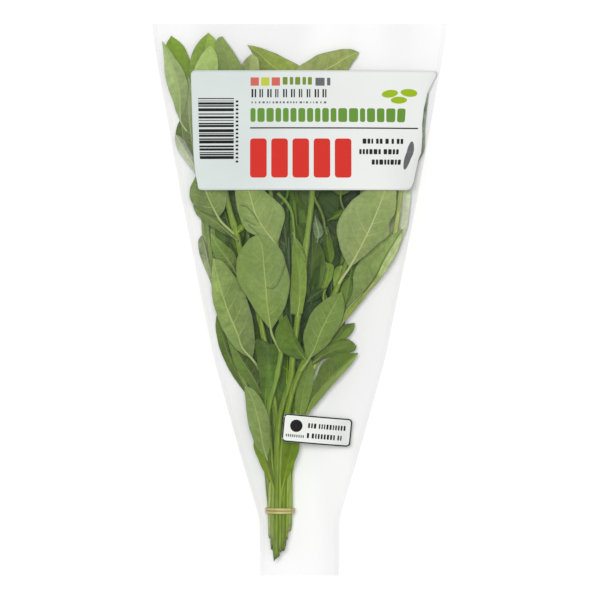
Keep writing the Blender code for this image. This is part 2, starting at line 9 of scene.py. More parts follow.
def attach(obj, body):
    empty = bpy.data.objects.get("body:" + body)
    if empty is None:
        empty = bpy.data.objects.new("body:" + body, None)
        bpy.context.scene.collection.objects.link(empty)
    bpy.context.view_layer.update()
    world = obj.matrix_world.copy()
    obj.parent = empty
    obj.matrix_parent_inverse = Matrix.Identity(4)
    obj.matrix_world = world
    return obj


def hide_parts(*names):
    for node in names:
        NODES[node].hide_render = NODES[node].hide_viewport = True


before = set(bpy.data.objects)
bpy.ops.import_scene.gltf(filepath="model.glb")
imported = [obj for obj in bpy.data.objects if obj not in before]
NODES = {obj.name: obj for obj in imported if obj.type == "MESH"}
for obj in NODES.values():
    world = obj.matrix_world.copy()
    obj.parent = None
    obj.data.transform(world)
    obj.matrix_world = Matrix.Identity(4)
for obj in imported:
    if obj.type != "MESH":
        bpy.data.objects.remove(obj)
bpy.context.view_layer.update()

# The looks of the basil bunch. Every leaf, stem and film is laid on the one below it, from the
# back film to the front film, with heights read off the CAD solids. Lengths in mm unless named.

MM = 0.001
rng = np.random.RandomState(7)


# ================================================================= plan, as in the CAD (mm)
# name, layer, base, tip, half width left, right, bow, petiole end, z base, z tip, arch, rise l, r
LEAVES = [
    ("leaf_back_upper_left", 0, (-34, 48), (-46, 110), 16, 15, 1, (-31, 38), 2, 1.5, 2, -1, -1),
    ("leaf_back_left", 0, (-39, -5), (-50, 46), 10, 12, 1, (-35, -15), 2, 1.5, 2, -1, -1),
    ("leaf_back_centre", 0, (-16, -21), (-18, 42), 16, 14, 0, (-14, -32), 2, 2, 2, -1, -1),
    ("leaf_back_middle_right", 0, (3, -22), (14, 44), 15, 16, 0, (-1.5, -32), 2, 2, 2, -1, -1),
    ("leaf_back_right", 0, (25, -4), (43, 57), 15, 12, 1, (21, -14), 2, 1.5, 2, -1, -1),
    ("leaf_back_lower_left", 0, (-29, -44.5), (-42.5, -1.5), 9, 9, 1, (-25.5, -53), 2, 1.5, 2, -1, -1),
    ("leaf_back_upper_right", 0, (40, 52), (54, 112), 16, 14, 0, (36, 40), 2, 1.5, 2, -1, -1),

    ("leaf_rim_right_high", 1, (62.5, 67), (76, 123.5), 6, 3.5, 1, (58.5, 55), 3, 3, 2, -1, -1),
    ("leaf_rim_right_low", 1, (56, 21.5), (63, 84), 6, 5, 0, (49, 9.5), 4, 3, 3, -1, -2),
    ("leaf_rim_left_high", 1, (-59.5, 80), (-74, 109), 4, 4, 0, (-56, 73), 3, 3, 2, -1, -1),
    ("leaf_rim_left_grey", 1, (-46.5, -1), (-59.5, 38), 4.5, 5, 1, (-41.5, -11), 3, 2, 2, -1, -1),
    ("leaf_rim_left_low", 1, (-30.5, -56), (-49.5, -8), 5, 6, 2, (-25.5, -65), 3, 2, 3, -1, -1),
    ("leaf_top_behind_left", 1, (-58, 106.5), (-77, 158), 8, 8, -2, (-52.5, 94.5), 4, 3, 4, -1, -1),
    ("leaf_top_second", 1, (-49.5, 106.5), (-55, 160), 10, 9, 1, (-46.5, 94.5), 4, 3, 4, -1, -1),
    ("leaf_top_long_left", 1, (6.5, 124.5), (-31.5, 153), 5, 7, 2, (10, 112.5), 4, 3, 3, -1, -1),
    ("leaf_top_long_right", 1, (-7, 124.5), (35, 148.5), 7, 7, 0, (-9.5, 112.5), 5, 4, 4, -1, -1),

    ("leaf_lower_left_mid", 2, (-23.5, -59), (-43, -18), 5, 6, 1, (-22.5, -67.5), 9, 6, 3, -1, -1),
    ("leaf_left_bright", 2, (-37, 15), (-52, 37.5), 7, 6, 0, (-34, 7.5), 10, 8, 2, -1, -1),
    ("leaf_rim_left_fold", 2, (-59.5, 69.5), (-72.5, 96.5), 2.5, 4, -1, (-55, 61), 7, 3.5, 2, -1, 1),
    ("leaf_left_fold", 2, (-41, 40.5), (-65, 58), 7, 2, 0, (-36.5, 35), 10, 6, 2, -1, 1),
    ("leaf_right_small_upper", 2, (16, -29), (32.5, -14.5), 5, 4, 0, (8.5, -38.5), 9, 5, 2, -1, -1),
    ("leaf_right_small_point", 2, (6.5, -38.5), (34, -28.5), 6, 4, 0, (0.5, -47), 10, 6, 3, -1, -1),
    ("leaf_hanging_upper", 2, (17, 42), (19, 20), 4, 4, 0, (9.5, 58), 14, 12, 1, -1, -1),
    ("leaf_hanging_lower", 2, (14.5, -1), (16.5, 24), 3.5, 3.5, 0, (14, -11), 12, 14, 1, -1, -1),
    ("leaf_dark_centre", 2, (-20.5, -61), (-17, -19.5), 8, 7, 0, (-22.5, -70), 13, 14, 2, -1, -1),
    ("leaf_top_small", 2, (-29.5, 114), (-29, 147), 6, 6, 0, (-28.5, 103), 8, 5, 3, -1, -1),

    ("leaf_top_pale_left", 3, (-71, 105.5), (-82, 156), 3, 8.5, -1.5, (-64.5, 92), 6, 4, 3, -1, 1),
    ("leaf_top_fourth", 3, (-42.5, 104), (-46.5, 157.5), 8, 11, 0, (-39.5, 92), 12, 6, 4, -1, -1),
    ("leaf_top_front", 3, (-52, 103), (-53, 152), 10, 9, 0, (-48.5, 91), 14, 8, 4, -1, -1),
    ("leaf_left_upper", 3, (-49, 49), (-61.5, 96), 10, 8, 0, (-37.5, 36), 14, 10, 4, -1, -1),
    ("leaf_right_fold_low", 3, (4.5, -68), (35, -32), 7.5, 3, 3, (-1.5, -77), 13, 8, 3, -1, -2),
    ("leaf_behind_petiole", 3, (-3, -70), (5, -37.5), 5, 6, 0, (-4.5, -80), 14, 13, 2, -1, -1),

    ("leaf_bright_low", 4, (-8, -107.5), (2, -75), 3.5, 4, -1, (-8.5, -115.5), 17, 12, 2, -1, -1),
    ("leaf_centre_strip", 4, (0.5, -8), (-1.5, 36), 4, 4, 0, (-1.5, -18), 22, 22, 2, -1, -1),
    ("leaf_centre_narrow", 4, (0.5, -37.5), (-7, -8.5), 6.3, 3, 0, (-3.5, -46), 22, 21, 2, -1, -1),
    ("leaf_label_left", 4, (-7, 64.5), (-11, 114), 14, 14, 0, (-8, 52.5), 20, 16, 4, -1, -1),
    ("leaf_label_right", 4, (24.5, 62), (29, 112.5), 15, 15, 0, (20.5, 50), 20, 14, 4, -1, -1),
    ("leaf_right_outer", 4, (26, -13), (61.5, 43), 9, 5.5, 0, (20, -20.5), 14, 6, 5, 0, -3),

    ("leaf_right_big", 5, (28.5, 19.5), (54.5, 78), 17, 12, -1, (23, 7.5), 24, 18, 6, -2, -2),
    ("leaf_lower_right", 5, (7, -34.5), (25, 4), 11, 10, 0, (-0.5, -43.5), 24, 18, 4, -2, -2),
    ("leaf_lowest_left", 5, (-19.5, -95.5), (-32.5, -52), 5, 7.5, 0, (-17, -104.5), 18, 10, 3, -1, -2),
    ("leaf_left_large", 5, (-28, -35), (-52, 24.5), 4.5, 14, 4, (-22.5, -44.5), 20, 12, 5, -3, -2),
    ("leaf_upper_centre_left", 5, (-16.5, 36), (-37, 84), 12, 13, 0, (-13, 30), 26, 20, 5, -2, -2),
    ("leaf_front_centre", 5, (-16.5, -17.5), (-28, 38), 14, 14.7, -1, (-11, -32.5), 26, 24, 6, -2, -3),
]

# Small leaves that only the looks have: deep in the bunch, or under the label. Most of those deep in the bunch and on
# the floor are coloured dark, painted shade in the gaps between the front leaves.
EXTRA = [
    ("leaf_deep_broad", 2.5, (7, 0), (8, 42), 8.5, 8, 0, (5, -8), 9, 8, 2, -1, -1),
    ("leaf_deep_streak", 2.6, (7, 1), (12, 21), 2.5, 2, 0, (6, -4), 11, 11, 1, -1, -1),
    ("leaf_deep_smear", 2.7, (14, 6), (4, -2), 3.0, 3, 0, (16, 7), 12, 12, 1, -1, -1),
    # a pale grey leaf standing where the film shows a glare: a painted reflection
    ("leaf_deep_grey", 2.6, (11.5, 34), (10.5, 52), 3.0, 3.0, 0, (8, 27), 14, 12, 1, -1, -1),
    ("leaf_deep_sprig", 2.7, (18.5, 49), (27.5, 54.5), 2.4, 2.4, 0, (16.5, 47), 14, 13, 1, -1, -1),
    ("leaf_deep_bright", 2.8, (21, 5), (25.5, 20.5), 3.0, 3.0, 0, (20, 0), 14, 14, 1, -1, -1),
    ("leaf_deep_right_grey", 2.7, (28, -2), (30, 14), 3.5, 3.5, 0, (26, -6), 12, 12, 1, -1, -1),
    ("leaf_deep_left_small", 2.6, (-8, 32), (-11, 58), 2.4, 2.2, 0, (-8, 28), 13, 13, 1, -1, -1),
    ("leaf_deep_right", 1.6, (28, -1), (33, 30), 8, 9, 0, (24, -9), 6, 6, 2, -1, -1),
    ("leaf_deep_right_high", 1.6, (22, 38), (24, 78), 13, 13, 0, (20, 30), 6, 6, 2, -1, -1),
    ("leaf_deep_floor_a", 0.3, (-16, -42), (-24, 84), 13, 11, 0, (-14, -50), 1.5, 1.5, 0.6, 0, 0),
    ("leaf_deep_floor_b", 0.3, (19, -3), (21, 84), 8, 9, 0, (17, -10), 1.5, 1.5, 0.6, 0, 0),
    ("leaf_deep_floor_c", 0.3, (13, -27), (27, -3), 5, 6.5, 0, (11, -31), 1.5, 1.5, 0.6, 0, 0),
    ("leaf_deep_floor_d", 0.2, (-14, -56), (-34, 66), 12, 12, 0, (-13, -60), 1.0, 1.0, 0.5, 0, 0),
    ("leaf_deep_floor_e", 0.2, (6, 14), (16, 92), 14, 14, 0, (5, 10), 1.0, 1.0, 0.5, 0, 0),
    ("leaf_deep_floor_f", 0.2, (-8, 28), (-22, 96), 10, 10, 0, (-7, 24), 1.0, 1.0, 0.5, 0, 0),
    ("leaf_deep_edge_left", 1.2, (-51, 20), (-60, 51), 4, 4, 0, (-50, 14), 3, 3, 1, 0, 0),
    ("leaf_deep_column", 2.6, (-2, 44), (-8, 69), 1.5, 1.5, 0, (-1, 40), 16, 14, 1, 0, 0),
    ("leaf_deep_knob", 2.5, (2, 32), (3, 45), 3, 3, 0, (2, 28), 13, 13, 1, 0, 0),
    ("leaf_deep_mid_high", 0.4, (5, 26), (6, 86), 14, 14, 0, (4, 18), 2.5, 2.5, 1, 0, 0),
    ("leaf_deep_low_centre", 0.4, (-10.5, -104), (-6, -18), 7, 7, 0, (-10.5, -112), 2.5, 2.5, 1, 0, 0),
    ("leaf_deep_centre_low", 0.4, (0, -34), (0, 34), 14, 14, 0, (0, -42), 2.5, 2.5, 1, 0, 0),
    ("leaf_deep_rim_right", 0.8, (50.5, 27), (61, 78), 5.5, 4.5, 0, (46, 20), 3, 3, 1, 0, 0),
    ("leaf_deep_left", 1.6, (-38, 30), (-46, 56), 9, 9, 0, (-35, 22), 6, 6, 2, -1, -1),
    ("leaf_deep_left_low", 1.6, (-34, 0), (-42, 34), 8, 8, 0, (-31, -8), 6, 6, 2, -1, -1),
    ("leaf_deep_centre", 0.6, (-6, 10), (-8, 74), 14, 14, 0, (-6, 0), 4, 4, 2, -1, -1),
    ("leaf_deep_low_left", 1.6, (-22, -52), (-30, -8), 7, 7, 0, (-20, -60), 7, 7, 2, -1, -1),
    ("leaf_deep_low_right", 0.6, (-2, -62), (9, -20), 8, 6, 0, (-4, -72), 4, 4, 2, -1, -1),
    ("leaf_deep_under_label", 1.6, (2, 74), (4, 122), 14, 14, 0, (2, 64), 8, 6, 3, -1, -1),
    ("leaf_deep_under_label_left", 1.6, (-24, 78), (-26, 124), 12, 12, 0, (-24, 68), 8, 6, 3, -1, -1),
    ("leaf_top_left_fill", 2.2, (-62, 85), (-66, 134), 5, 5, 0, (-58, 76), 6, 5, 2, -1, -1),
    ("leaf_low_left_foot", 4.4, (-16, -111), (-26, -82), 3, 4, 0, (-14.5, -122), 14, 12, 2, -1, -1),
    ("leaf_axil_left", 3.4, (-37, 40), (-32.5, 46), 1.8, 1.8, 0, (-38, 37), 18, 18, 1, 0, 0),
    ("leaf_axil_centre", 4.3, (-3, 38), (3.8, 22), 3, 3, 0, (-3, 40), 25, 24, 1, 0, 0),
]

# Thin strands that only the looks have: leaf stalks that run down into the tied bundle, a side
# branch and a long leaf stalk.
STRANDS = [
    ("strand_front_middle", 3.7, 1.0, 0.9, [(-11.6, -150.5, 15.6), (-11.45, -126, 17.9), (-11.4, -107, 18.0), (-11.0, -92, 18.6), (-9.6, -78, 19.2), (-7.6, -66, 19.6)]),
    ("strand_left", 3.7, 1.0, 0.8, [(-16.0, -146.0, 12.6), (-15.9, -126, 14.9), (-15.7, -114, 14.9), (-16.0, -109, 15.0)]),
    ("strand_far_left", 2.6, 0.9, 0.8, [(-17.6, -142.5, 9.6), (-17.9, -126, 11.2), (-17.8, -114, 11.4), (-17.2, -109, 12.0)]),
    ("strand_right", 3.7, 1.1, 0.8, [(-7.9, -142.8, 13.2), (-7.4, -126, 15.4), (-7.1, -107, 15.6), (-6.4, -96, 15.8), (-4.8, -84, 16.2), (-3.2, -76, 16.4)]),
    ("strand_far_right", 2.6, 1.0, 0.8, [(-6.5, -139.0, 10.6), (-6.1, -126, 12.2), (-5.9, -107, 12.4), (-4.6, -95, 12.6), (-3.0, -86, 12.8), (-0.2, -76, 13.2)]),
    ("strand_edge_right", 1.6, 0.9, 0.8, [(-5.6, -137.5, 7.4), (-5.1, -126, 8.9), (-4.9, -107, 8.9), (-3.4, -95, 9.2), (-1.1, -84, 9.4), (1.6, -74, 9.4)]),
    ("stalk_centre", 4.1, 0.75, 1.05, [(-1.9, 30.4, 24.6), (-2.9, 37.6, 24.8), (-3.5, 44.9, 24.0), (-4.5, 51.4, 23.0), (-6.6, 56.2, 22.4), (-9.3, 59.8, 21.8), (-12.9, 63.4, 21.2)]),
    ("branch_right", 3.6, 0.7, 1.15, [(16.7, 38.2, 14.6), (15.3, 43.0, 15.6), (14.0, 49.6, 17.4), (11.9, 54.7, 19.4), (9.9, 58.3, 21.4), (8.1, 61.6, 22.8)]),
]

STEMS = [
    ("stem_back_left", 0.5, 1.6, 1.2, [(-15, -149, 3.4), (-15.5, -126, 5.2), (-16.5, -107, 5.2), (-19, -84, 5.5), (-22.5, -63, 6), (-27.5, -43.5, 6), (-33.5, -21, 6), (-39.5, 3, 6), (-44, 27, 6), (-48.5, 51, 5), (-52.5, 75, 4), (-56.5, 97, 3)]),
    ("stem_back_right", 0.5, 1.6, 1.2, [(-8.4, -142.5, 3.4), (-7.5, -126, 5.2), (-7, -107, 5.2), (-4.5, -87, 5.5), (-1, -69, 6), (5, -51, 6), (12.5, -33, 6), (20, -13.5, 6), (28, 6, 6), (35, 25, 6), (41, 45, 5), (46, 66, 5), (50, 90, 4), (53, 111, 3)]),
    ("stem_left", 1.5, 1.6, 1.2, [(-16.9, -143.5, 7), (-17.3, -126, 8.8), (-19, -107, 8.6), (-21, -93, 8.6), (-24.5, -78, 8), (-28.5, -63, 7), (-32, -51, 7), (-37, -39, 7), (-41.5, -24, 7), (-46.5, -6, 7), (-51.5, 18, 6), (-54.5, 39, 6), (-56.5, 60, 6), (-59.5, 81, 5), (-64, 103, 4)]),
    ("stem_inner_left", 1.5, 1.6, 1.3, [(-13.5, -151.5, 7), (-13.5, -126, 8.8), (-14, -107, 8.8), (-15.5, -84, 9.4), (-17, -63, 10), (-19, -42, 10), (-21.5, -24, 10), (-25, 0, 10), (-28.5, 22.5, 10), (-31.5, 45, 9), (-34, 66, 8), (-35.5, 90, 6), (-37, 112.5, 5)]),
    ("stem_inner_right", 1.5, 1.6, 1.3, [(-9.5, -146.5, 7), (-9.5, -126, 8.8), (-9.5, -107, 8.8), (-8.5, -84, 9.4), (-7, -63, 10), (-5.5, -42, 10), (-5, -21, 10), (-5.5, 0, 10), (-6.5, 21, 10), (-7, 39, 9), (-7.5, 60, 8), (-8.5, 84, 6), (-10, 108, 5)]),
    ("stem_right", 1.5, 1.6, 1.2, [(-6.9, -139.5, 7.4), (-6.0, -126, 8.8), (-5.8, -107, 8.8), (-4.4, -93, 9.2), (-1.5, -78, 9.5), (2, -63, 9.5), (6.5, -51, 9), (11, -37.5, 8), (16, -21, 8), (20.5, -3, 8), (24.5, 18, 8), (28, 39, 8), (31.5, 60, 7), (34.5, 84, 6), (37, 108, 5)]),
    ("stem_middle", 1.7, 1.7, 1.5, [(-11.5, -149.5, 10.5), (-11.5, -126, 12.4), (-11.5, -107, 12.4), (-13.2, -84, 13.0), (-14.5, -63, 13.5), (-17.5, -45, 14), (-20, -30, 15), (-23, -15, 16), (-28.5, 6, 16), (-34, 25, 16), (-37, 37.5, 16), (-43, 58.5, 16), (-47, 81, 13), (-51.5, 103, 9), (-54.5, 121, 7)]),
    ("stem_upper_right", 1.7, 1.7, 1.4, [(-8.4, -141.5, 10.5), (-7.8, -126, 12.4), (-7, -107, 12.4), (-5.2, -90, 13), (-2.5, -75, 13.5), (1, -60, 14), (5.5, -47, 14), (11.5, -32.5, 13), (18.5, -22, 13), (26.5, -11.5, 12), (34, -3, 11), (41.5, 6.5, 10), (49.5, 17, 10), (55.5, 33, 10), (59.5, 57, 10), (62.5, 84, 8), (65, 109, 6)]),
    ("stem_upper_left", 2.5, 1.7, 1.3, [(-15.6, -148, 10.5), (-15.5, -126, 12.4), (-15.8, -107, 12.6), (-17.3, -90, 14), (-18.5, -72, 16.5), (-17.5, -62, 17.5), (-14.5, -51, 18.5), (-12.5, -41.5, 19), (-11, -30, 20), (-11, -12, 19), (-12.5, 9, 19), (-13.5, 31, 20), (-16.5, 57, 18), (-20, 87, 14), (-22.5, 112.5, 10)]),
    ("stem_front_left", 3.5, 1.8, 1.9, [(-13.8, -154.8, 14.0), (-13.5, -126, 16.0), (-13.6, -107, 16.2), (-13, -84, 17.2), (-11.5, -70, 19), (-8.5, -58.5, 20), (-5, -47, 21), (-4, -34, 22), (-2.5, -21, 22), (-1, -10, 22), (2, 12, 23), (4, 31.5, 24), (6.5, 54, 23), (8, 72, 21), (10, 96, 17), (11, 117.5, 12)]),
    ("stem_front_right", 3.5, 1.8, 1.3, [(-10.4, -149.5, 14.0), (-9.7, -126, 16.0), (-9.4, -107, 16.2), (-8.7, -84, 17), (-7.3, -69, 18), (-4, -54, 18), (1.5, -39, 18), (8.5, -21, 18), (16, -5, 18), (23, 8, 19), (30.5, 31, 18), (36.5, 57, 17), (40.5, 87, 14), (43, 112.5, 10)]),
]

MOUTH_Y, NECK_Y = 165.5, -165.5
HALF_WIDTHS = [(165.5, 88.5), (156, 87.7), (60, 70.5), (-36, 51.3), (-96, 34.5), (-132, 23.7), (-165.5, 23.7)]
SEAM = 3.0
BAND_Y = -126.0

# ---- outlines of the leaves that show whole: midrib, left edge and right edge, base to tip (mm)
SHAPES = {
    "leaf_top_behind_left": (
        None,
        [(-72.3, 112.6), (-75.3, 121), (-78.9, 131.8), (-80.4, 142.7), (-80.1, 152.2), (-76.9, 158.2)],
        [(-72.3, 112.6), (-68.7, 119.8), (-66, 129.4), (-65.5, 137.8), (-65.9, 143.8), (-67.8, 149.2), (-71.1, 153.8), (-76.9, 158.2)],
    ),
    "leaf_top_pale_left": (
        None,
        [(-71.4, 109), (-73.8, 112.6), (-75.5, 118), (-77.9, 125.2), (-80, 133), (-80.9, 142), (-81.6, 149.8), (-82.3, 154.8)],
        [(-71.4, 109), (-69.6, 112), (-67.8, 117.4), (-66.7, 124), (-67.4, 131.2), (-70.3, 138.2), (-75, 145.3), (-78.9, 151), (-82.3, 154.8)],
    ),
    "leaf_top_second": (
        None,
        [(-55.5, 109), (-61.5, 118.6), (-65.1, 129.4), (-65.9, 140.2), (-64.1, 148), (-60.1, 154.9), (-54.7, 159.9)],
        [(-55.5, 109), (-50.7, 119.2), (-48.3, 130.7), (-48.1, 142.7), (-49.1, 151.7), (-51.1, 156.7), (-54.7, 159.9)],
    ),
    "leaf_top_front": (
        None,
        [(-56.1, 111.5), (-61.5, 118.6), (-63.5, 127), (-63.2, 136.7), (-60.3, 143.5), (-56.7, 148.9), (-53, 152.2)],
        [(-56.1, 111.5), (-51.3, 119.2), (-48.9, 128.2), (-48.4, 137.2), (-49.1, 144.8), (-50.7, 149.2), (-53, 152.2)],
    ),
    "leaf_top_fourth": (
        None,
        [(-42.3, 107.8), (-47.7, 117.4), (-49.5, 128.2), (-49.1, 139), (-50.1, 147.4), (-50.2, 153.8), (-48.6, 156.9), (-46.2, 157.6)],
        [(-42.3, 107.8), (-36.9, 117.4), (-33.5, 128.2), (-33.5, 137.2), (-35.7, 142.3), (-39.3, 148), (-42.9, 153.1), (-46.2, 157.6)],
    ),
    "leaf_top_small": (
        None,
        [(-29.7, 113.8), (-33.9, 121.6), (-35.5, 130.7), (-34.7, 139), (-32.5, 143.6), (-29.1, 146.8)],
        [(-29.7, 113.8), (-25.8, 121.6), (-23.9, 130.7), (-23.9, 137.8), (-24.8, 143.8), (-26.7, 146.2), (-29.1, 146.8)],
    ),
    "leaf_top_long_left": (
        None,
        [(6.9, 124), (-4.5, 124.3), (-15.3, 129.4), (-22.5, 135.4), (-25.7, 143.2), (-28.7, 148.7), (-31.2, 152.7)],
        [(6.9, 124), (6.3, 131.8), (-0.4, 139.8), (-8.7, 144.9), (-17.7, 148.9), (-25.4, 151.5), (-31.2, 152.7)],
    ),
    "leaf_top_long_right": (
        None,
        [(-9.3, 121), (-5.7, 132.4), (-0.4, 139.8), (5.5, 143.6), (13.1, 147.3), (23.5, 149.5), (30.9, 150), (35.6, 148.3)],
        [(-9.3, 121), (2.7, 121.6), (15.3, 125.8), (24.3, 131.8), (28.6, 137.6), (31.5, 141.8), (34.4, 145.3), (35.6, 148.3)],
    ),
    "leaf_rim_left_high": (
        None,
        [(-61.5, 79), (-68.1, 85.6), (-72.5, 92.8), (-74.1, 99.5), (-72.5, 105.8), (-70.3, 109.7)],
        [(-61.5, 79), (-62.1, 88), (-64.5, 96.5), (-67.2, 103.3), (-70.3, 109.7)],
    ),
    "leaf_rim_left_fold": (
        None,
        [(-60, 70.6), (-63.3, 77), (-68.1, 83), (-72.3, 89), (-74.3, 94.6), (-74.5, 99.1)],
        [(-60, 70.6), (-60.9, 79), (-63.3, 86.2), (-66.6, 92.2), (-70.5, 96.8), (-74.5, 99.1)],
    ),
    "leaf_left_upper": (
        [(-48.6, 49.4), (-52.5, 56.9), (-55.6, 64.3), (-57.9, 73), (-60, 83.8), (-60.8, 96)],
        [(-48.6, 49.4), (-55.6, 51.9), (-62.4, 56.1), (-65.1, 61), (-65.4, 66.5), (-63.4, 71), (-61.6, 75), (-61.2, 82), (-61.2, 90), (-60.8, 96)],
        [(-48, 49.4), (-45.5, 52.9), (-43.9, 58), (-43.6, 64.6), (-45.3, 73), (-49.5, 82.6), (-55.5, 91), (-60.8, 96)],
    ),
    "leaf_left_fold": (
        None,
        [(-37.5, 35.5), (-44.5, 39.1), (-50.6, 42.6), (-55.6, 45.6), (-60.7, 50.2), (-63.1, 54.1), (-63.8, 56.7)],
        [(-37.5, 36.1), (-43.5, 44.4), (-48.5, 50.2), (-56.1, 53.5), (-63.8, 56.7)],
    ),
    "leaf_left_bright": (
        None,
        [(-37.8, 15.1), (-44.1, 19.1), (-49.6, 24.1), (-52.6, 31), (-53.3, 40.4)],
        [(-37.5, 15.4), (-37.1, 20.2), (-37.7, 24.8), (-40.5, 29.8), (-45.5, 34), (-53.3, 40.4)],
    ),
    "leaf_rim_left_grey": (
        None,
        [(-49.8, 1.1), (-52.1, 7), (-54.7, 14.2), (-58.3, 23.2), (-60.3, 30.4), (-60.7, 35.5), (-58.8, 38.4)],
        [(-49.8, 1.1), (-50.3, 8.8), (-51.5, 17.8), (-52.3, 26.8), (-53.5, 33.7), (-55.6, 37.4), (-58.8, 38.4)],
    ),
    "leaf_rim_left_low": (
        None,
        [(-28.5, -60.8), (-33.2, -55), (-38.9, -47.2), (-43.6, -38.8), (-47.5, -29.5), (-50.1, -18.8), (-50.1, -11.5), (-49.2, -8.2)],
        [(-28.5, -60.8), (-30.9, -51.8), (-35.1, -42.1), (-39.6, -31.3), (-42.9, -21.1), (-46.2, -12.8), (-49.2, -8.2)],
    ),
    "leaf_dark_centre": (
        None,
        [(-20.4, -64.3), (-22.6, -56.5), (-24.1, -45.8), (-25.5, -34.9), (-26.6, -27.8), (-25.7, -23.6), (-22.5, -23.2)],
        [(-19.8, -64.3), (-18, -56.5), (-15.3, -48.1), (-12.9, -38.5), (-11.3, -30.1), (-12.3, -25.6), (-17.1, -26.6), (-22.5, -23.2)],
    ),
    "leaf_centre_narrow": (
        [(3.4, -35.4), (-0.6, -30.1), (-4.2, -23.8), (-6.5, -16.3), (-7.9, -8.8)],
        [(3.4, -35.9), (-2.5, -34.7), (-8.7, -31.9), (-13.2, -26.8), (-14.8, -20.6), (-12.3, -13.7), (-7.9, -8.8)],
        [(3.7, -34.9), (1.4, -28.9), (-2.3, -21.8), (-5.5, -14.2), (-7.9, -8.8)],
    ),
    "leaf_centre_strip": (
        [(-1.2, -9.3), (0, -0.8), (0.4, 8.8), (-0.3, 19.1), (-2.3, 29.8), (-3.4, 37)],
        [(-5.3, -8.4), (-5.5, -0.1), (-5, 10), (-4.5, 20.2), (-4.5, 29.8), (-3.4, 37)],
        [(1.7, -8.1), (3.1, -0.1), (4.1, 8.2), (4, 17.8), (2.1, 26.2), (-1.2, 32.9), (-3.4, 37)],
    ),
    "leaf_deep_edge_left": (
        None,
        [(-51.3, 20.3), (-54.5, 31), (-57.9, 38), (-58.5, 42), (-58.8, 46.7), (-60.3, 51.5)],
        [(-50.7, 20.3), (-49.5, 31), (-49.5, 39), (-52.5, 46.7), (-60.3, 51.5)],
    ),
    "leaf_deep_column": (
        None,
        [(-1.8, 44.2), (-3.6, 50.9), (-4.2, 56.9), (-5.7, 62.2), (-7.2, 65.8), (-8.1, 69.5)],
        [(-1.3, 44.2), (-1.6, 50.9), (-2.1, 56.9), (-3, 62.2), (-4.5, 65.8), (-8.1, 69.5)],
    ),
    "leaf_deep_knob": (
        None,
        [(1.5, 31.6), (-1.2, 35.9), (-2.4, 40.6), (-1.5, 44.2), (0.9, 45.8), (3.3, 45.8)],
        [(2.1, 31.6), (3.6, 35.9), (4.2, 40.6), (4.2, 44.2), (3.3, 45.8)],
    ),
    "leaf_rim_right_high": (
        None,
        [(63.5, 66), (62, 78), (64, 92), (68.5, 106), (73.5, 117), (77.6, 124.2)],
        [(65.5, 66), (68.0, 74), (70.2, 81), (73.4, 86.6), (74.8, 91), (75.2, 97.2), (75.4, 105.2), (76.4, 114.5), (77.6, 124.2)],
    ),
    "leaf_rim_right_low": (
        [(54.5, 24), (58, 30), (60.5, 37), (61.6, 46.6), (62.2, 56.9), (62.5, 68.8), (62.8, 83.8)],
        [(54, 24), (53.5, 28.5), (55, 37), (56.9, 46.6), (57.6, 56.9), (58.5, 68.8), (62.8, 83.8)],
        [(55, 23.6), (58.8, 28.6), (62, 36.2), (64.6, 44.1), (66.1, 54), (66.5, 66), (62.8, 83.8)],
    ),
    "leaf_right_small_upper": (
        None,
        [(13.5, -29.5), (18.9, -24.4), (22.9, -19.9), (24.7, -16.3), (28.3, -14.5), (33.1, -13.9)],
        [(13.9, -29.9), (21.9, -27.4), (27.6, -23.3), (30.5, -20.3), (32.6, -17.3), (33.1, -13.9)],
    ),
    "leaf_right_small_point": (
        None,
        [(5.5, -39.1), (12.3, -31.6), (20.1, -26.2), (27.9, -23.6), (31.5, -25), (34, -27.6)],
        [(5.8, -39.5), (10, -38), (14.8, -35.4), (22.1, -33.1), (29.1, -31.7), (33.1, -30.2), (34, -27.6)],
    ),
    "leaf_right_fold_low": (
        [(3.8, -68.5), (7.2, -60.2), (11.2, -54.9), (17.6, -47.6), (24.3, -41.2), (30.0, -35.7), (35, -32)],
        [(3.3, -68.2), (5.3, -59.9), (7.6, -52.4), (10.3, -44.3), (13.4, -38.2), (18.9, -34.3), (25.5, -32), (35, -31.8)],
        [(4.3, -68.7), (9.5, -62.7), (15.8, -55.4), (22.0, -48.3), (28.0, -41.9), (33.1, -35.5), (35, -32)],
    ),
    "leaf_behind_petiole": (
        None,
        [(-0.3, -71.5), (-2.7, -63.1), (-2.1, -52.9), (0.6, -43.9), (6.3, -33.8)],
        [(0.3, -71.5), (3.5, -66.8), (6.1, -59.3), (8, -49.4), (8.1, -40.4), (6.3, -33.8)],
    ),
    "leaf_bright_low": (
        None,
        [(-10.3, -111.8), (-10.4, -104.5), (-10.5, -96.1), (-9.9, -87.8), (-7.5, -80.5), (-2.1, -75.8)],
        [(-10, -111.8), (-7.3, -106.6), (-4.3, -100.1), (-1.8, -93.8), (-0.2, -87.8), (0.4, -81.1), (-2.1, -75.8)],
    ),
    "leaf_hanging_lower": (
        None,
        [(14.2, 1.6), (13.1, 7), (13, 13), (13.9, 19.1), (15.5, 22.6)],
        [(14.6, 1.6), (16.9, 8.2), (19.7, 13.7), (20.5, 20.2), (15.5, 22.6)],
    ),
    "leaf_hanging_upper": (
        None,
        [(16.3, 42.4), (14.3, 37), (14.2, 31), (15.7, 25.1), (18.7, 21.1)],
        [(17.3, 42.4), (19.1, 37), (19.9, 32.2), (20.9, 26.2), (18.7, 21.1)],
    ),
    "leaf_front_centre": (
        [(-17, -18), (-19.3, -1.8), (-20, 7.4), (-21.2, 20.5), (-22.4, 31.6), (-25.5, 38.5)],
        [(-17.2, -17.9), (-24.3, -8.8), (-33.1, 5.2), (-37.4, 13.7), (-38, 20.2), (-35.7, 28.3), (-30.5, 35.5), (-25.5, 38.5)],
        [(-16.7, -17.9), (-11, -8.8), (-7.1, 1.6), (-6.2, 12.4), (-8.7, 25.1), (-13.7, 32.9), (-20.3, 37.8), (-25.5, 38.5)],
    ),
    "leaf_upper_centre_left": (
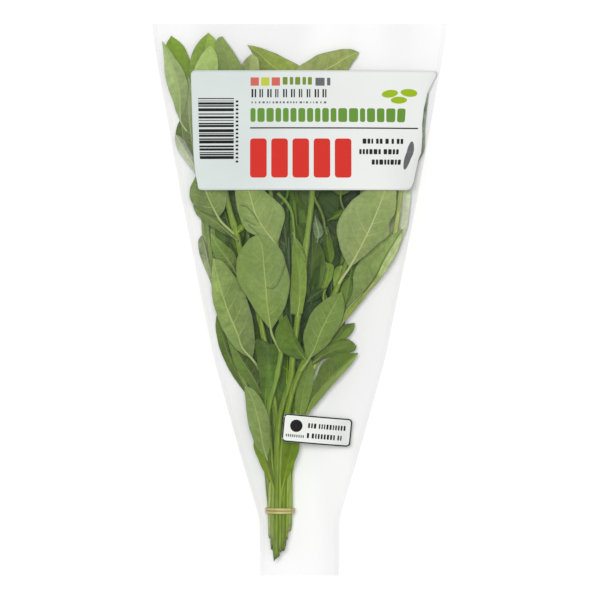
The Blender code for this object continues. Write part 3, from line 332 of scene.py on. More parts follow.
        [(-13.8, 32.6), (-21.4, 42.7), (-26.4, 51.8), (-29.9, 63.8), (-33.9, 73.6), (-37, 84)],
        [(-14.1, 32.7), (-28.5, 39.4), (-33.4, 44.2), (-36.1, 51.8), (-38.6, 64.6), (-39.5, 74.8), (-37, 84)],
        [(-13.6, 32.9), (-11.1, 39.4), (-8.9, 48.7), (-11.1, 55.9), (-20.1, 64), (-29.1, 74.2), (-37, 84)],
    ),
    "leaf_right_big": (
        [(30.1, 19.9), (35, 28.6), (40.1, 38.6), (44.6, 48.7), (50.1, 62.8), (54.5, 78)],
        [(29.6, 19.6), (26.8, 24.9), (23.7, 33.4), (22.6, 41.7), (24.8, 51.1), (29.9, 58.2), (38.6, 64.6), (47.1, 72.5), (54.5, 78)],
        [(30.5, 19.4), (33, 21.5), (40.1, 27.4), (47.1, 33.8), (53.5, 38.9), (53.7, 45.4), (57.1, 52.6), (57.7, 63.4), (56.7, 71.2), (54.5, 78)],
    ),
    "leaf_lower_right": (
        [(5.6, -35.1), (9.1, -28.5), (12.9, -18.5), (18.3, -7.7), (22.3, -0.4), (25.1, 5)],
        [(5.3, -34.9), (3.7, -31.3), (2.6, -25.9), (2.5, -20.3), (4.3, -13.6), (8.1, -6.5), (14.7, -0.5), (25.1, 5)],
        [(5.9, -35.2), (11.3, -31.1), (17.6, -25.6), (22.3, -18.6), (25.7, -10.8), (26.6, -2.5), (25.1, 5)],
    ),
    "leaf_right_outer": (
        [(25.9, -13), (27.6, -6.8), (31.4, -2.6), (36.0, 2.0), (41.3, 8.2), (46.0, 15.2), (50.0, 23.5), (54.8, 31.7), (61.6, 42.2)],
        [(25.5, -12.8), (27.2, -5.2), (30.9, 2.4), (31.9, 8.4), (32, 14.5), (36.1, 23.4), (42.1, 30.3), (50.1, 36), (61.6, 42.2)],
        [(26.2, -13.1), (33.1, -5), (42.1, 5.8), (51.3, 16.8), (57.3, 26.6), (60.7, 35.2), (61.6, 42.2)],
    ),
    "leaf_lowest_left": (
        None,
        [(-19.7, -94.3), (-22.7, -92), (-26.6, -86.5), (-30.4, -74.2), (-31.9, -61.9), (-32.9, -54.8), (-32.7, -51.5)],
        [(-19.3, -94.1), (-17.8, -87.9), (-17.5, -75.6), (-20.2, -64.8), (-25.6, -55.5), (-29.5, -52.4), (-32.7, -51.5)],
    ),
    "leaf_left_large": (
        [(-28.4, -35.1), (-34.1, -28.5), (-37.3, -19.3), (-42.3, -7.7), (-47.1, 7), (-49.9, 17.8), (-51.5, 24.8)],
        [(-28.7, -35.2), (-34.3, -31.9), (-39.7, -27.3), (-45.1, -18.8), (-49.5, -7.9), (-52, 3.4), (-52.6, 14.2), (-51.5, 24.8)],
        [(-28, -34.8), (-26.6, -25.9), (-26.8, -17.2), (-29.8, -5.3), (-33.8, 6.5), (-39.5, 15.7), (-46, 22.9), (-51.5, 24.8)],
    ),
    "leaf_lower_left_mid": (
        None,
        [(-20.1, -63.8), (-26, -56.5), (-32.7, -47.9), (-38.9, -38.9), (-41.6, -28.3), (-43.3, -19.9)],
        [(-19.9, -63.4), (-20.3, -55.4), (-22.9, -45.8), (-28.5, -36.1), (-35.7, -27.8), (-43.3, -19.9)],
    ),
    "leaf_deep_grey": (
        None,
        [(9.9, 36.4), (8.3, 41.2), (8.1, 46.6), (9.3, 50.5)],
        [(12.3, 37), (14.3, 40), (12.9, 44.9), (9.3, 50.5)],
    ),
    "leaf_deep_sprig": (
        None,
        [(18.9, 48.7), (20.7, 51.8), (23.7, 53.6), (27.9, 54.7)],
        [(19.1, 47.9), (22.1, 47.9), (25.5, 49.6), (27.9, 54.7)],
    ),
    "leaf_deep_bright": (
        None,
        [(20.9, 4.9), (20.1, 11.2), (20.8, 16.6), (22.5, 19.6), (25.5, 20.5)],
        [(21.4, 4.8), (23.9, 7.6), (26.3, 12.4), (27.1, 17.8), (25.5, 20.5)],
    ),
    "leaf_deep_right_grey": (
        None,
        [(26.7, -2.5), (23.9, 2.2), (25.3, 8.2), (29.7, 13.9)],
        [(28.1, -2.5), (32.3, 1.6), (33.1, 8.2), (29.7, 13.9)],
    ),
    "leaf_axil_centre": (
        None,
        [(-3.5, 37.9), (-3.9, 34), (-2.6, 29.7), (0.3, 26), (3.8, 22.3)],
        [(-2.9, 38), (-0.5, 35), (2.1, 30.7), (3.7, 26.2), (3.8, 22.3)],
    ),
    "leaf_deep_streak": (
        None,
        [(6.7, 1.1), (6.1, 8.2), (8.1, 15.1), (12.1, 21.4)],
        [(7.3, 1.1), (10.1, 7.6), (11.9, 14.2), (12.1, 21.4)],
    ),
    "leaf_deep_smear": (
        None,
        [(14.3, 6.7), (9.3, 6.2), (5.7, 3.1), (3.7, -1.9)],
        [(14.6, 5.6), (11.7, 1.1), (7.5, -1), (3.7, -1.9)],
    ),
    "leaf_deep_left_small": (
        None,
        [(-8.1, 32.2), (-10.9, 40.6), (-11.9, 49), (-10.9, 58)],
        [(-7.5, 32.2), (-6.5, 40.6), (-7.1, 50.2), (-10.9, 58)],
    ),
    "leaf_top_left_fill": (
        None,
        [(-63.3, 85), (-68.1, 94.6), (-70.7, 106.6), (-70.3, 119.8), (-66.3, 134.2)],
        [(-61.5, 85), (-60.3, 95.8), (-60.9, 107.8), (-63.1, 122.2), (-66.3, 134.2)],
    ),
    "leaf_low_left_foot": (
        None,
        [(-16.1, -111.1), (-20.1, -104.5), (-24.1, -96.5), (-27.3, -88.3), (-26.7, -81.8)],
        [(-15.7, -111.1), (-15.9, -104.5), (-17.1, -96.5), (-17.7, -87.8), (-26.7, -81.8)],
    ),
}

# ---- look of each leaf: side towards the viewer ("under" or "upper"), colour name, brown margin
LOOK = {
    "leaf_front_centre": ("under", "mid", 0), "leaf_upper_centre_left": ("under", "mid", 0),
    "leaf_left_large": ("under", "olive", 0), "leaf_right_big": ("under", "light", 0),
    "leaf_lower_right": ("under", "mid", 0), "leaf_lowest_left": ("under", "grey", 0),
    "leaf_right_outer": ("under", "olive", 0), "leaf_right_fold_low": ("upper", "deepmid", 0),
    "leaf_behind_petiole": ("under", "mid", 0), "leaf_dark_centre": ("upper", "deepmid", 0),
    "leaf_lower_left_mid": ("upper", "deepmid", 0), "leaf_rim_left_low": ("upper", "deepmid", 0),
    "leaf_rim_left_grey": ("under", "greymottle", 0), "leaf_left_bright": ("upper", "fresh", 0),
    "leaf_left_upper": ("under", "olive", 0), "leaf_left_fold": ("under", "olive", 0),
    "leaf_right_small_upper": ("upper", "deepmid", 1), "leaf_right_small_point": ("upper", "deepmid", 1),
    "leaf_centre_strip": ("upper", "fresh", 0), "leaf_centre_narrow": ("upper", "deepmid", 0),
    "leaf_deep_broad": ("under", "deepmid", 0), "leaf_deep_streak": ("under", "mid", 0),
    "leaf_deep_smear": ("under", "greymottle", 0), "leaf_deep_right_grey": ("under", "grey", 0),
    "leaf_deep_left_small": ("under", "mid", 0), "leaf_top_left_fill": ("under", "greyolive", 0),
    "leaf_low_left_foot": ("upper", "fresh", 0), "leaf_deep_rim_right": ("under", "greyolive", 0),
    "leaf_deep_column": ("under", "mid", 0), "leaf_deep_knob": ("under", "olive", 0),
    "leaf_deep_edge_left": ("under", "grey", 0), "leaf_deep_left": ("upper", "deepmid", 0), "leaf_deep_left_low": ("upper", "deepmid", 0),
    "leaf_hanging_upper": ("upper", "fresh", 0), "leaf_hanging_lower": ("under", "fresh", 0),
    "leaf_bright_low": ("upper", "fresh", 0), "leaf_rim_right_low": ("under", "pale", 0),
    "leaf_rim_right_high": ("under", "greymottle", 0),
    "leaf_top_behind_left": ("under", "freshpale", 0), "leaf_top_second": ("under", "olive", 0),
    "leaf_top_front": ("under", "palebright", 0), "leaf_top_fourth": ("under", "greyolive", 0),
    "leaf_top_small": ("under", "greyolive", 0), "leaf_top_long_left": ("under", "olivebright", 0),
    "leaf_top_long_right": ("under", "olivebright", 0), "leaf_top_pale_left": ("under", "pale", 0),
    "leaf_rim_left_high": ("upper", "deep", 0), "leaf_rim_left_fold": ("under", "pale", 0),
    "leaf_deep_grey": ("under", "greymottle", 0), "leaf_deep_bright": ("upper", "fresh", 0),
    "leaf_deep_sprig": ("upper", "deepmid", 0), "leaf_axil_left": ("upper", "fresh", 0),
    "leaf_axil_centre": ("upper", "fresh", 0), "leaf_deep_rim_top": ("under", "greyolive", 0),
    "leaf_label_left": ("under", "mid", 0), "leaf_label_right": ("under", "mid", 0),
}
# colour names: underside, upper side, vein (linear)
TINTS = {
    "mid": ((0.215, 0.325, 0.088), (0.095, 0.185, 0.030), (0.40, 0.52, 0.19)),
    "light": ((0.250, 0.355, 0.110), (0.105, 0.195, 0.035), (0.44, 0.56, 0.23)),
    "olive": ((0.225, 0.320, 0.080), (0.100, 0.180, 0.028), (0.42, 0.52, 0.18)),
    "grey": ((0.215, 0.310, 0.105), (0.095, 0.175, 0.035), (0.36, 0.47, 0.20)),
    "greyolive": ((0.250, 0.330, 0.125), (0.100, 0.170, 0.035), (0.36, 0.45, 0.20)),
    "greymottle": ((0.260, 0.320, 0.165), (0.120, 0.180, 0.070), (0.40, 0.46, 0.27)),
    "pale": ((0.340, 0.430, 0.190), (0.130, 0.220, 0.050), (0.48, 0.56, 0.30)),
    "palebright": ((0.290, 0.440, 0.120), (0.130, 0.240, 0.040), (0.44, 0.58, 0.22)),
    "freshpale": ((0.210, 0.350, 0.055), (0.110, 0.220, 0.022), (0.36, 0.50, 0.14)),
    "olivebright": ((0.290, 0.370, 0.115), (0.120, 0.200, 0.035), (0.42, 0.50, 0.19)),
    "fresh": ((0.200, 0.340, 0.050), (0.150, 0.285, 0.035), (0.34, 0.50, 0.12)),
    "deepmid": ((0.190, 0.290, 0.075), (0.115, 0.215, 0.040), (0.27, 0.40, 0.11)),
    "deep": ((0.150, 0.230, 0.060), (0.060, 0.115, 0.030), (0.20, 0.30, 0.09)),
}


SHADE = 0.80
# Strength of the veins (1 when not named), leaves folded along the midrib, with a dark line there as painted shade,
# and how much lighter the right half of a folded leaf shows, as painted light.
VEIN = {"leaf_right_fold_low": 0.4, "leaf_centre_narrow": 0.25, "leaf_dark_centre": 0.12, "leaf_centre_strip": 0.22, "leaf_behind_petiole": 0.15,
        "leaf_top_behind_left": 0.35, "leaf_top_second": 0.4, "leaf_top_front": 0.3, "leaf_top_fourth": 0.5,
        "leaf_top_small": 0.5, "leaf_top_pale_left": 0.45, "leaf_hanging_upper": 0.3, "leaf_hanging_lower": 0.5,
        "leaf_deep_bright": 0.4, "leaf_axil_centre": 0.25, "leaf_left_bright": 0.7, "leaf_lowest_left": 0.75,
        "leaf_bright_low": 0.3, "leaf_low_left_foot": 0.3, "leaf_right_small_point": 0.5, "leaf_right_small_upper": 0.5,
        "leaf_rim_right_low": 0.6, "leaf_deep_column": 0.2, "leaf_deep_knob": 0.2, "leaf_rim_left_low": 0.7, "leaf_deep_rim_right": 0.3}
FOLD_LINE_SHADED = {"leaf_right_outer"}
RIGHT_HALF_LIT = {"leaf_right_outer": ((1.70, 1.58, 0.85), (3.00, 2.50, 4.30)), "leaf_right_fold_low": ((1.6, 1.45, 1.9), (2.2, 1.85, 3.2))}
# painted crease shade: runs of points (mm), each a dark line along a fold of the leaf's blade, in colour only
CREASE_SHADES = {
    "leaf_front_centre": [[(-19.2, 7.1), (-16.0, 6.5), (-13.4, 8.4), (-11.5, 12.3), (-10.2, 15.5), (-7.6, 23.9)]],
    "leaf_upper_centre_left": [[(-34.6, 56.0), (-31.4, 55.4), (-26.3, 49.6), (-24.4, 46.4)], [(-32.7, 47.6), (-26.3, 44.4)],
                               [(-30.1, 44.4), (-24.4, 39.0)]],
}
# Lightness of single leaves and stems against their colour name; the very dark ones, deep in the bunch, are painted
# shade for the gaps between the front leaves.
TONE_AND_SHADE = {
    "leaf_back_upper_left": (0.83, 0.75, 0.82), "leaf_back_left": (1.1, 1, 0.9), "leaf_back_centre": (2.2, 2.2, 0.2),
    "leaf_back_middle_right": (2.2, 2.2, 1.52), "leaf_back_right": (0.39, 0.77, 0.15),
    "leaf_back_upper_right": (0.13, 0.17, 0.22), "leaf_deep_mid_high": (0.9, 0.9, 0.6),
    "leaf_deep_low_centre": (1.84, 2.06, 0.16), "leaf_deep_centre_low": (0.38, 0.58, 0.15),
    "stem_back_right": (2.2, 2.2, 2.2), "leaf_deep_centre": (1.02, 1.04, 0.39),
    "leaf_deep_low_right": (1.41, 1.43, 1.55), "leaf_deep_rim_right": (1.8, 1.65, 2.2),
    "leaf_rim_right_high": (0.95, 0.95, 1.2), "leaf_rim_right_low": (1.24, 1.09, 1.64),
    "leaf_rim_left_high": (1.4, 1.1, 1.1), "leaf_rim_left_grey": (0.79, 0.77, 0.74),
    "leaf_rim_left_low": (0.62, 0.55, 0.37), "leaf_top_behind_left": (0.6, 0.6, 0.32),
    "leaf_top_second": (0.92, 0.96, 0.61), "leaf_top_long_left": (0.8, 0.81, 0.5),
    "leaf_top_long_right": (1.02, 0.93, 0.9), "stem_left": (0.67, 0.65, 0.93), "stem_inner_left": (0.25, 0.34, 0.12),
    "stem_inner_right": (0.12, 0.23, 0.12), "stem_right": (0.26, 0.38, 0.12), "leaf_deep_right": (1.11, 1.04, 0.66),
    "leaf_deep_right_high": (0.35, 0.4, 0.19), "leaf_deep_left": (0.45, 0.49, 0.33),
    "leaf_deep_left_low": (0.33, 0.37, 0.21), "leaf_deep_low_left": (0.53, 0.62, 0.12),
    "strand_edge_right": (1.3, 1.25, 1.3), "stem_middle": (0.69, 0.72, 0.41), "stem_upper_right": (1.66, 1.34, 2.2),
    "leaf_lower_left_mid": (0.61, 0.56, 0.41), "leaf_left_bright": (0.87, 0.71, 1.12),
    "leaf_rim_left_fold": (1.06, 0.95, 1.4), "leaf_left_fold": (0.49, 0.51, 0.51),
    "leaf_right_small_upper": (0.97, 0.89, 0.56), "leaf_right_small_point": (0.87, 0.77, 0.65),
    "leaf_hanging_upper": (0.45, 0.42, 0.33), "leaf_hanging_lower": (0.73, 0.67, 0.62),
    "leaf_dark_centre": (0.6, 0.63, 0.32), "leaf_top_small": (1.03, 0.93, 0.86),
    "leaf_top_left_fill": (0.79, 0.76, 0.81), "leaf_deep_broad": (0.33, 0.37, 0.26),
    "stem_upper_left": (0.7, 0.77, 0.5), "leaf_deep_streak": (0.15, 0.21, 0.12), "leaf_deep_grey": (0.61, 0.71, 0.62),
    "leaf_deep_left_small": (0.16, 0.23, 0.12), "strand_far_left": (1.36, 1.16, 1.85),
    "strand_far_right": (1.25, 1.2, 1.2), "leaf_deep_smear": (0.18, 0.28, 0.12),
    "leaf_deep_sprig": (0.51, 0.53, 0.27), "leaf_deep_right_grey": (0.45, 0.52, 0.25),
    "leaf_deep_bright": (1.25, 1.02, 1.24), "leaf_top_pale_left": (0.82, 0.85, 0.72),
    "leaf_top_fourth": (0.66, 0.68, 0.47), "leaf_top_front": (1.11, 0.98, 1.06),
    "leaf_left_upper": (0.84, 0.84, 0.92), "leaf_right_fold_low": (1.02, 0.88, 0.71),
    "leaf_behind_petiole": (0.63, 0.64, 0.43), "leaf_axil_left": (0.9, 0.8, 0.45),
    "stem_front_left": (0.65, 0.7, 0.38), "stem_front_right": (0.62, 0.66, 0.27), "branch_right": (0.52, 0.55, 0.84),
    "strand_front_middle": (0.78, 0.78, 0.42), "strand_left": (1.08, 0.94, 1), "strand_right": (1.02, 0.95, 0.43),
    "leaf_bright_low": (0.78, 0.67, 0.21), "leaf_centre_strip": (0.97, 0.81, 0.84),
    "leaf_centre_narrow": (0.61, 0.62, 0.23), "leaf_label_left": (0.21, 0.33, 0.12),
    "leaf_label_right": (0.31, 0.34, 0.22), "leaf_right_outer": (0.73, 0.73, 0.76),
    "stalk_centre": (0.55, 0.65, 0.56), "leaf_axil_centre": (0.83, 0.71, 0.8),
    "leaf_low_left_foot": (0.84, 0.68, 0.25), "leaf_right_big": (0.93, 0.84, 0.89),
    "leaf_lower_right": (0.62, 0.64, 0.47), "leaf_lowest_left": (0.83, 0.8, 0.63),
    "leaf_left_large": (0.82, 0.81, 0.84), "leaf_upper_centre_left": (0.89, 0.83, 0.8),
    "leaf_front_centre": (0.73, 0.72, 0.56), "leaf_deep_floor_a": (0.5, 0.55, 0.45),
    "leaf_deep_floor_b": (0.45, 0.5, 0.42), "leaf_deep_floor_c": (0.7, 0.75, 0.55),
    "leaf_deep_edge_left": (0.85, 0.8, 0.85), "leaf_deep_column": (0.37, 0.46, 0.13),
    "leaf_deep_knob": (0.26, 0.33, 0.12),
}


# ================================================================= curves and height map
def spline_through(points, n):
    """Catmull-Rom curve through the points, read off at n even steps of its length."""
    p = np.array(points, float)
    if len(p) == 2:
        return p[0] + (p[1] - p[0]) * np.linspace(0, 1, n)[:, None]
    p = np.vstack([2 * p[0] - p[1], p, 2 * p[-1] - p[-2]])
    fine = []
    for k in range(1, len(p) - 2):
        a, b, c, d = p[k - 1], p[k], p[k + 1], p[k + 2]
        for t in np.linspace(0, 1, 16, endpoint=False):
            fine.append(0.5 * (2 * b + (c - a) * t + (2 * a - 5 * b + 4 * c - d) * t * t
                               + (3 * b - a - 3 * c + d) * t ** 3))
    fine.append(p[-2])
    fine = np.array(fine)
    run = np.concatenate([[0], np.cumsum(np.linalg.norm(np.diff(fine, axis=0), axis=1))])
    at = np.linspace(0, run[-1], n)
    return np.stack([np.interp(at, run, fine[:, k]) for k in range(fine.shape[1])], -1)


def station(table, y):
    pts = sorted(table)
    return np.interp(y, [p[0] for p in pts], [p[1] for p in pts])


CELL = 0.5
MX, MY = 105.0, 182.0
top_of = np.full((int(2 * MX / CELL) + 1, int(2 * MY / CELL) + 1), 0.35)


def cell_of(x, y):
    ix = np.clip(np.rint((x + MX) / CELL).astype(int), 1, top_of.shape[0] - 2)
    iy = np.clip(np.rint((y + MY) / CELL).astype(int), 1, top_of.shape[1] - 2)
    return ix, iy


def record_top(x, y, top):
    ix, iy = cell_of(np.ravel(x), np.ravel(y))
    top = np.ravel(top)
    for dx in (-1, 0, 1):
        for dy in (-1, 0, 1):
            np.maximum.at(top_of, (ix + dx, iy + dy), top)


def finer(grid, k=3):
    """Bilinear in-between points of a grid, k to each step."""
    for axis in (0, 1):
        g = np.moveaxis(grid, axis, 0)
        n = g.shape[0]
        t = np.linspace(0, n - 1, (n - 1) * k + 1)
        i = np.minimum(t.astype(int), n - 2)
        f = (t - i).reshape(-1, *([1] * (g.ndim - 1)))
        grid = np.moveaxis(g[i] * (1 - f) + g[i + 1] * f, 0, axis)
    return grid


def settle(grid, half, gap, rounds=60):
    """Raise a sheet smoothly where it would touch what already lies under it."""
    fine = finer(grid, 2)
    ix, iy = cell_of(fine[..., 0], fine[..., 1])
    under = top_of[ix, iy]
    rows, cols = grid.shape[:2]
    need_f = under + gap + half - fine[..., 2]
    need = np.zeros((rows, cols))
    for di in (-1, 0, 1):
        for dj in (-1, 0, 1):
            i = np.clip(np.arange(rows) * 2 + di, 0, 2 * rows - 2)
            j = np.clip(np.arange(cols) * 2 + dj, 0, 2 * cols - 2)
            need = np.maximum(need, need_f[np.ix_(i, j)])
    need = np.maximum(need, 0)
    if need.max() > 0:
        lift = need.copy()
        for _ in range(rounds):
            p = np.pad(lift, 1, mode="edge")
            near = (p[:-2, 1:-1] + p[2:, 1:-1] + p[1:-1, :-2] + p[1:-1, 2:] + 4 * lift) / 8
            lift = np.maximum(need, near)
        # ease the crest so that the sheet bends and doesn't kink
        for _ in range(6):
            p = np.pad(lift, 1, mode="edge")
            lift = (p[:-2, 1:-1] + p[2:, 1:-1] + p[1:-1, :-2] + p[1:-1, 2:] + 4 * lift) / 8
        lift += np.maximum(need - lift, 0).max() * 0.5 * (lift / max(lift.max(), 1e-6))
        grid = grid.copy()
        grid[..., 2] += lift
    fine = finer(grid, 3)
    record_top(fine[..., 0], fine[..., 1], fine[..., 2] + half)
    return grid


def tree_of(node):
    mesh = NODES[node].data
    mesh.calc_loop_triangles()
    co = np.zeros(len(mesh.vertices) * 3)
    mesh.vertices.foreach_get("co", co)
    co = co.reshape(-1, 3)
    tri = [tuple(t.vertices) for t in mesh.loop_triangles]
    return BVHTree.FromPolygons([Vector(c) for c in co], tri)


def mid_height(tree, x, y):
    """Height of the middle of a thin CAD solid at a place, in mm; nan past its edge."""
    down = tree.ray_cast(Vector((x * MM, y * MM, 0.2)), Vector((0, 0, -1)))
    if down[0] is None:
        return float("nan")
    up = tree.ray_cast(Vector((x * MM, y * MM, -0.2)), Vector((0, 0, 1)))
    return (down[0].z + up[0].z) / 2 / MM


# ================================================================= mesh making
def closed_sheet(name, grid, thick, attributes=None, slots=None):
    """A closed thin body: the grid of mid points thickened along its normals, with a rim."""
    rows, cols = grid.shape[:2]
    du = np.gradient(grid, axis=1)
    dv = np.gradient(grid, axis=0)
    nrm = np.cross(du, dv)
    size = np.linalg.norm(nrm, axis=2, keepdims=True)
    nrm = nrm / np.maximum(size, 1e-9)
    nrm[nrm[..., 2] < 0] *= -1
    thick = np.broadcast_to(np.asarray(thick, float), (rows, cols))[..., None]
    upper = grid + nrm * thick / 2
    lower = grid - nrm * thick / 2
    n = rows * cols
    co = np.vstack([upper.reshape(-1, 3), lower.reshape(-1, 3)]) * MM
    idx = np.arange(n).reshape(rows, cols)
    a, b, c, d = idx[:-1, :-1], idx[:-1, 1:], idx[1:, 1:], idx[1:, :-1]
    e1, e2 = grid[0, -1] - grid[0, 0], grid[-1, 0] - grid[0, 0]
    up = (e1[0] * e2[1] - e1[1] * e2[0]) > 0
    top = np.stack([a, b, c, d], -1).reshape(-1, 4)
    if not up:
        top = top[:, ::-1]
    bot = top[:, ::-1] + n
    ring = np.concatenate([idx[0, :-1], idx[:-1, -1], idx[-1, :0:-1], idx[:0:-1, 0]])
    nxt = np.roll(ring, -1)
    rim = np.stack([nxt, ring, ring + n, nxt + n], -1)
    if not up:
        rim = rim[:, ::-1]
    faces = np.vstack([top, bot, rim])
    mesh = bpy.data.meshes.new(name)
    mesh.from_pydata(co.tolist(), [], faces.tolist())
    for key, (kind, values) in (attributes or {}).items():
        both = np.concatenate([values[0].reshape(n, -1), values[1].reshape(n, -1)]) if isinstance(values, tuple) \
            else np.tile(values.reshape(n, -1), (2, 1))
        att = mesh.attributes.new(key, kind, "POINT")
        att.data.foreach_set("vector" if kind == "FLOAT_VECTOR" else "value", both.astype(np.float32).ravel())
    mesh.validate()
    mesh.shade_smooth()
    obj = bpy.data.objects.new(name, mesh)
    bpy.context.scene.collection.objects.link(obj)
    return obj


def film_sheet(name, grid, fm):
    """A film, far thinner than anything else here: one wall of faces through its mid points."""
    rows, cols = grid.shape[:2]
    idx = np.arange(rows * cols).reshape(rows, cols)
    faces = np.stack([idx[:-1, :-1], idx[:-1, 1:], idx[1:, 1:], idx[1:, :-1]], -1).reshape(-1, 4)
    e1, e2 = grid[0, -1] - grid[0, 0], grid[-1, 0] - grid[0, 0]
    if e1[0] * e2[1] - e1[1] * e2[0] <= 0:
        faces = faces[:, ::-1]
    mesh = bpy.data.meshes.new(name)
    mesh.from_pydata((grid.reshape(-1, 3) * MM).tolist(), [], faces.tolist())
    att = mesh.attributes.new("fm", "FLOAT_VECTOR", "POINT")
    att.data.foreach_set("vector", fm.reshape(-1, 3).astype(np.float32).ravel())
    mesh.validate()
    mesh.shade_smooth()
    obj = bpy.data.objects.new(name, mesh)
    bpy.context.scene.collection.objects.link(obj)
    return obj


def tube(path, radii, sides, squareness=0.0, cut=None, twist=0.0, dome=0.0):
    """Vertices, faces and data of a closed tube along a path. squareness gives it four soft ribs;
    cut = (dx, dz) slants the first end."""
    path = np.array(path, float)
    n = len(path)
    tan = np.gradient(path, axis=0)
    tan /= np.linalg.norm(tan, axis=1, keepdims=True)
    ref = np.array([0.0, 0.0, 1.0])
    first = ref - tan[0] * (ref @ tan[0])
    first /= np.linalg.norm(first)
    u = first
    rings, around = [], np.linspace(0, 2 * math.pi, sides, endpoint=False)
    for k in range(n):
        u = u - tan[k] * (u @ tan[k])
        u /= np.linalg.norm(u)
        w = np.cross(tan[k], u)
        ang = around + twist * k / max(n - 1, 1)
        r = radii[k] * (1 + squareness * np.cos(4 * around))
        ring = path[k] + (np.cos(ang) * r)[:, None] * u + (np.sin(ang) * r)[:, None] * w
        if cut is not None and k == 0:
            ring = ring + tan[0] * ((np.cos(ang) * cut[1] + np.sin(ang) * cut[0]) * r)[:, None]
        rings.append(ring)
    co = np.vstack(rings + [[rings[0].mean(0) + tan[0] * dome], [rings[-1].mean(0) + tan[-1] * radii[-1] * 0.6]])
    idx = np.arange(n * sides).reshape(n, sides)
    nxt = np.roll(idx, -1, axis=1)
    quads = np.stack([idx[:-1], nxt[:-1], nxt[1:], idx[1:]], -1).reshape(-1, 4).tolist()
    tris = [(int(nxt[0, j]), int(idx[0, j]), n * sides) for j in range(sides)]
    tris += [(int(idx[-1, j]), int(nxt[-1, j]), n * sides + 1) for j in range(sides)]
    return co, quads + tris, idx


def smooth_object(name, co, faces):
    mesh = bpy.data.meshes.new(name)
    mesh.from_pydata((np.asarray(co) * MM).tolist(), [], faces)
    mesh.validate()
    mesh.shade_smooth()
    obj = bpy.data.objects.new(name, mesh)
    bpy.context.scene.collection.objects.link(obj)
    return obj


# ================================================================= node helpers
class Nodes:
    """Short ways to write a node tree."""

    def __init__(self, name):
        self.mat = bpy.data.materials.new(name)
        self.mat.use_nodes = True
        self.t = self.mat.node_tree
        self.bsdf = self.t.nodes["Principled BSDF"]
        self.x = -200

    def node(self, kind, **settings):
        n = self.t.nodes.new(kind)
        for k, v in settings.items():
            setattr(n, k, v)
        return n

    def put(self, socket, value):
        if isinstance(value, bpy.types.NodeSocket):
            self.t.links.new(value, socket)
        elif isinstance(value, tuple) and len(value) == 3 and len(getattr(socket, "default_value", (0,) * 3)) == 4:
            socket.default_value = (*value, 1.0)
        else:
            socket.default_value = value

    def math(self, op, a, b=None, c=None, clamp=False):
        n = self.node("ShaderNodeMath", operation=op, use_clamp=clamp)
        for k, v in enumerate((a, b, c)):
            if v is not None:
                self.put(n.inputs[k], v)
        return n.outputs[0]

    def step(self, value, lo, hi, a=0.0, b=1.0):
        n = self.node("ShaderNodeMapRange", interpolation_type="SMOOTHSTEP")
        for k, v in zip(("Value", "From Min", "From Max", "To Min", "To Max"), (value, lo, hi, a, b)):
            self.put(n.inputs[k], v)
        return n.outputs[0]

    def line(self, value, lo, hi, a=0.0, b=1.0):
        n = self.node("ShaderNodeMapRange", interpolation_type="LINEAR", clamp=True)
        for k, v in zip(("Value", "From Min", "From Max", "To Min", "To Max"), (value, lo, hi, a, b)):
            self.put(n.inputs[k], v)
        return n.outputs[0]

    def mix(self, fac, a, b, kind="MIX"):
        n = self.node("ShaderNodeMix", data_type="RGBA", blend_type=kind)
        self.put(n.inputs[0], fac)
        self.put(n.inputs[6], a)
        self.put(n.inputs[7], b)
        return n.outputs[2]

    def attribute(self, name):
        n = self.node("ShaderNodeAttribute", attribute_type="GEOMETRY", attribute_name=name)
        return n

    def split(self, vector):
        n = self.node("ShaderNodeSeparateXYZ")
        self.put(n.inputs[0], vector)
        return n.outputs

    def place(self, offset=(0, 0, 0), scale=(1, 1, 1)):
        tc = self.node("ShaderNodeTexCoord")
        m = self.node("ShaderNodeMapping")
        self.t.links.new(tc.outputs["Object"], m.inputs["Vector"])
        m.inputs["Location"].default_value = offset
        m.inputs["Scale"].default_value = scale
        return m.outputs[0]

    def noise(self, vector, scale, detail=2.0, rough=0.5, distortion=0.0):
        n = self.node("ShaderNodeTexNoise", noise_dimensions="3D")
        self.put(n.inputs["Vector"], vector)
        n.inputs["Scale"].default_value = scale
        n.inputs["Detail"].default_value = detail
        n.inputs["Roughness"].default_value = rough
        n.inputs["Distortion"].default_value = distortion
        return n.outputs["Fac"]

    def bump(self, height, strength=0.5, distance=0.0002):
        n = self.node("ShaderNodeBump")
        n.inputs["Strength"].default_value = strength
        n.inputs["Distance"].default_value = distance
        self.put(n.inputs["Height"], height)
        self.t.links.new(n.outputs["Normal"], self.bsdf.inputs["Normal"])
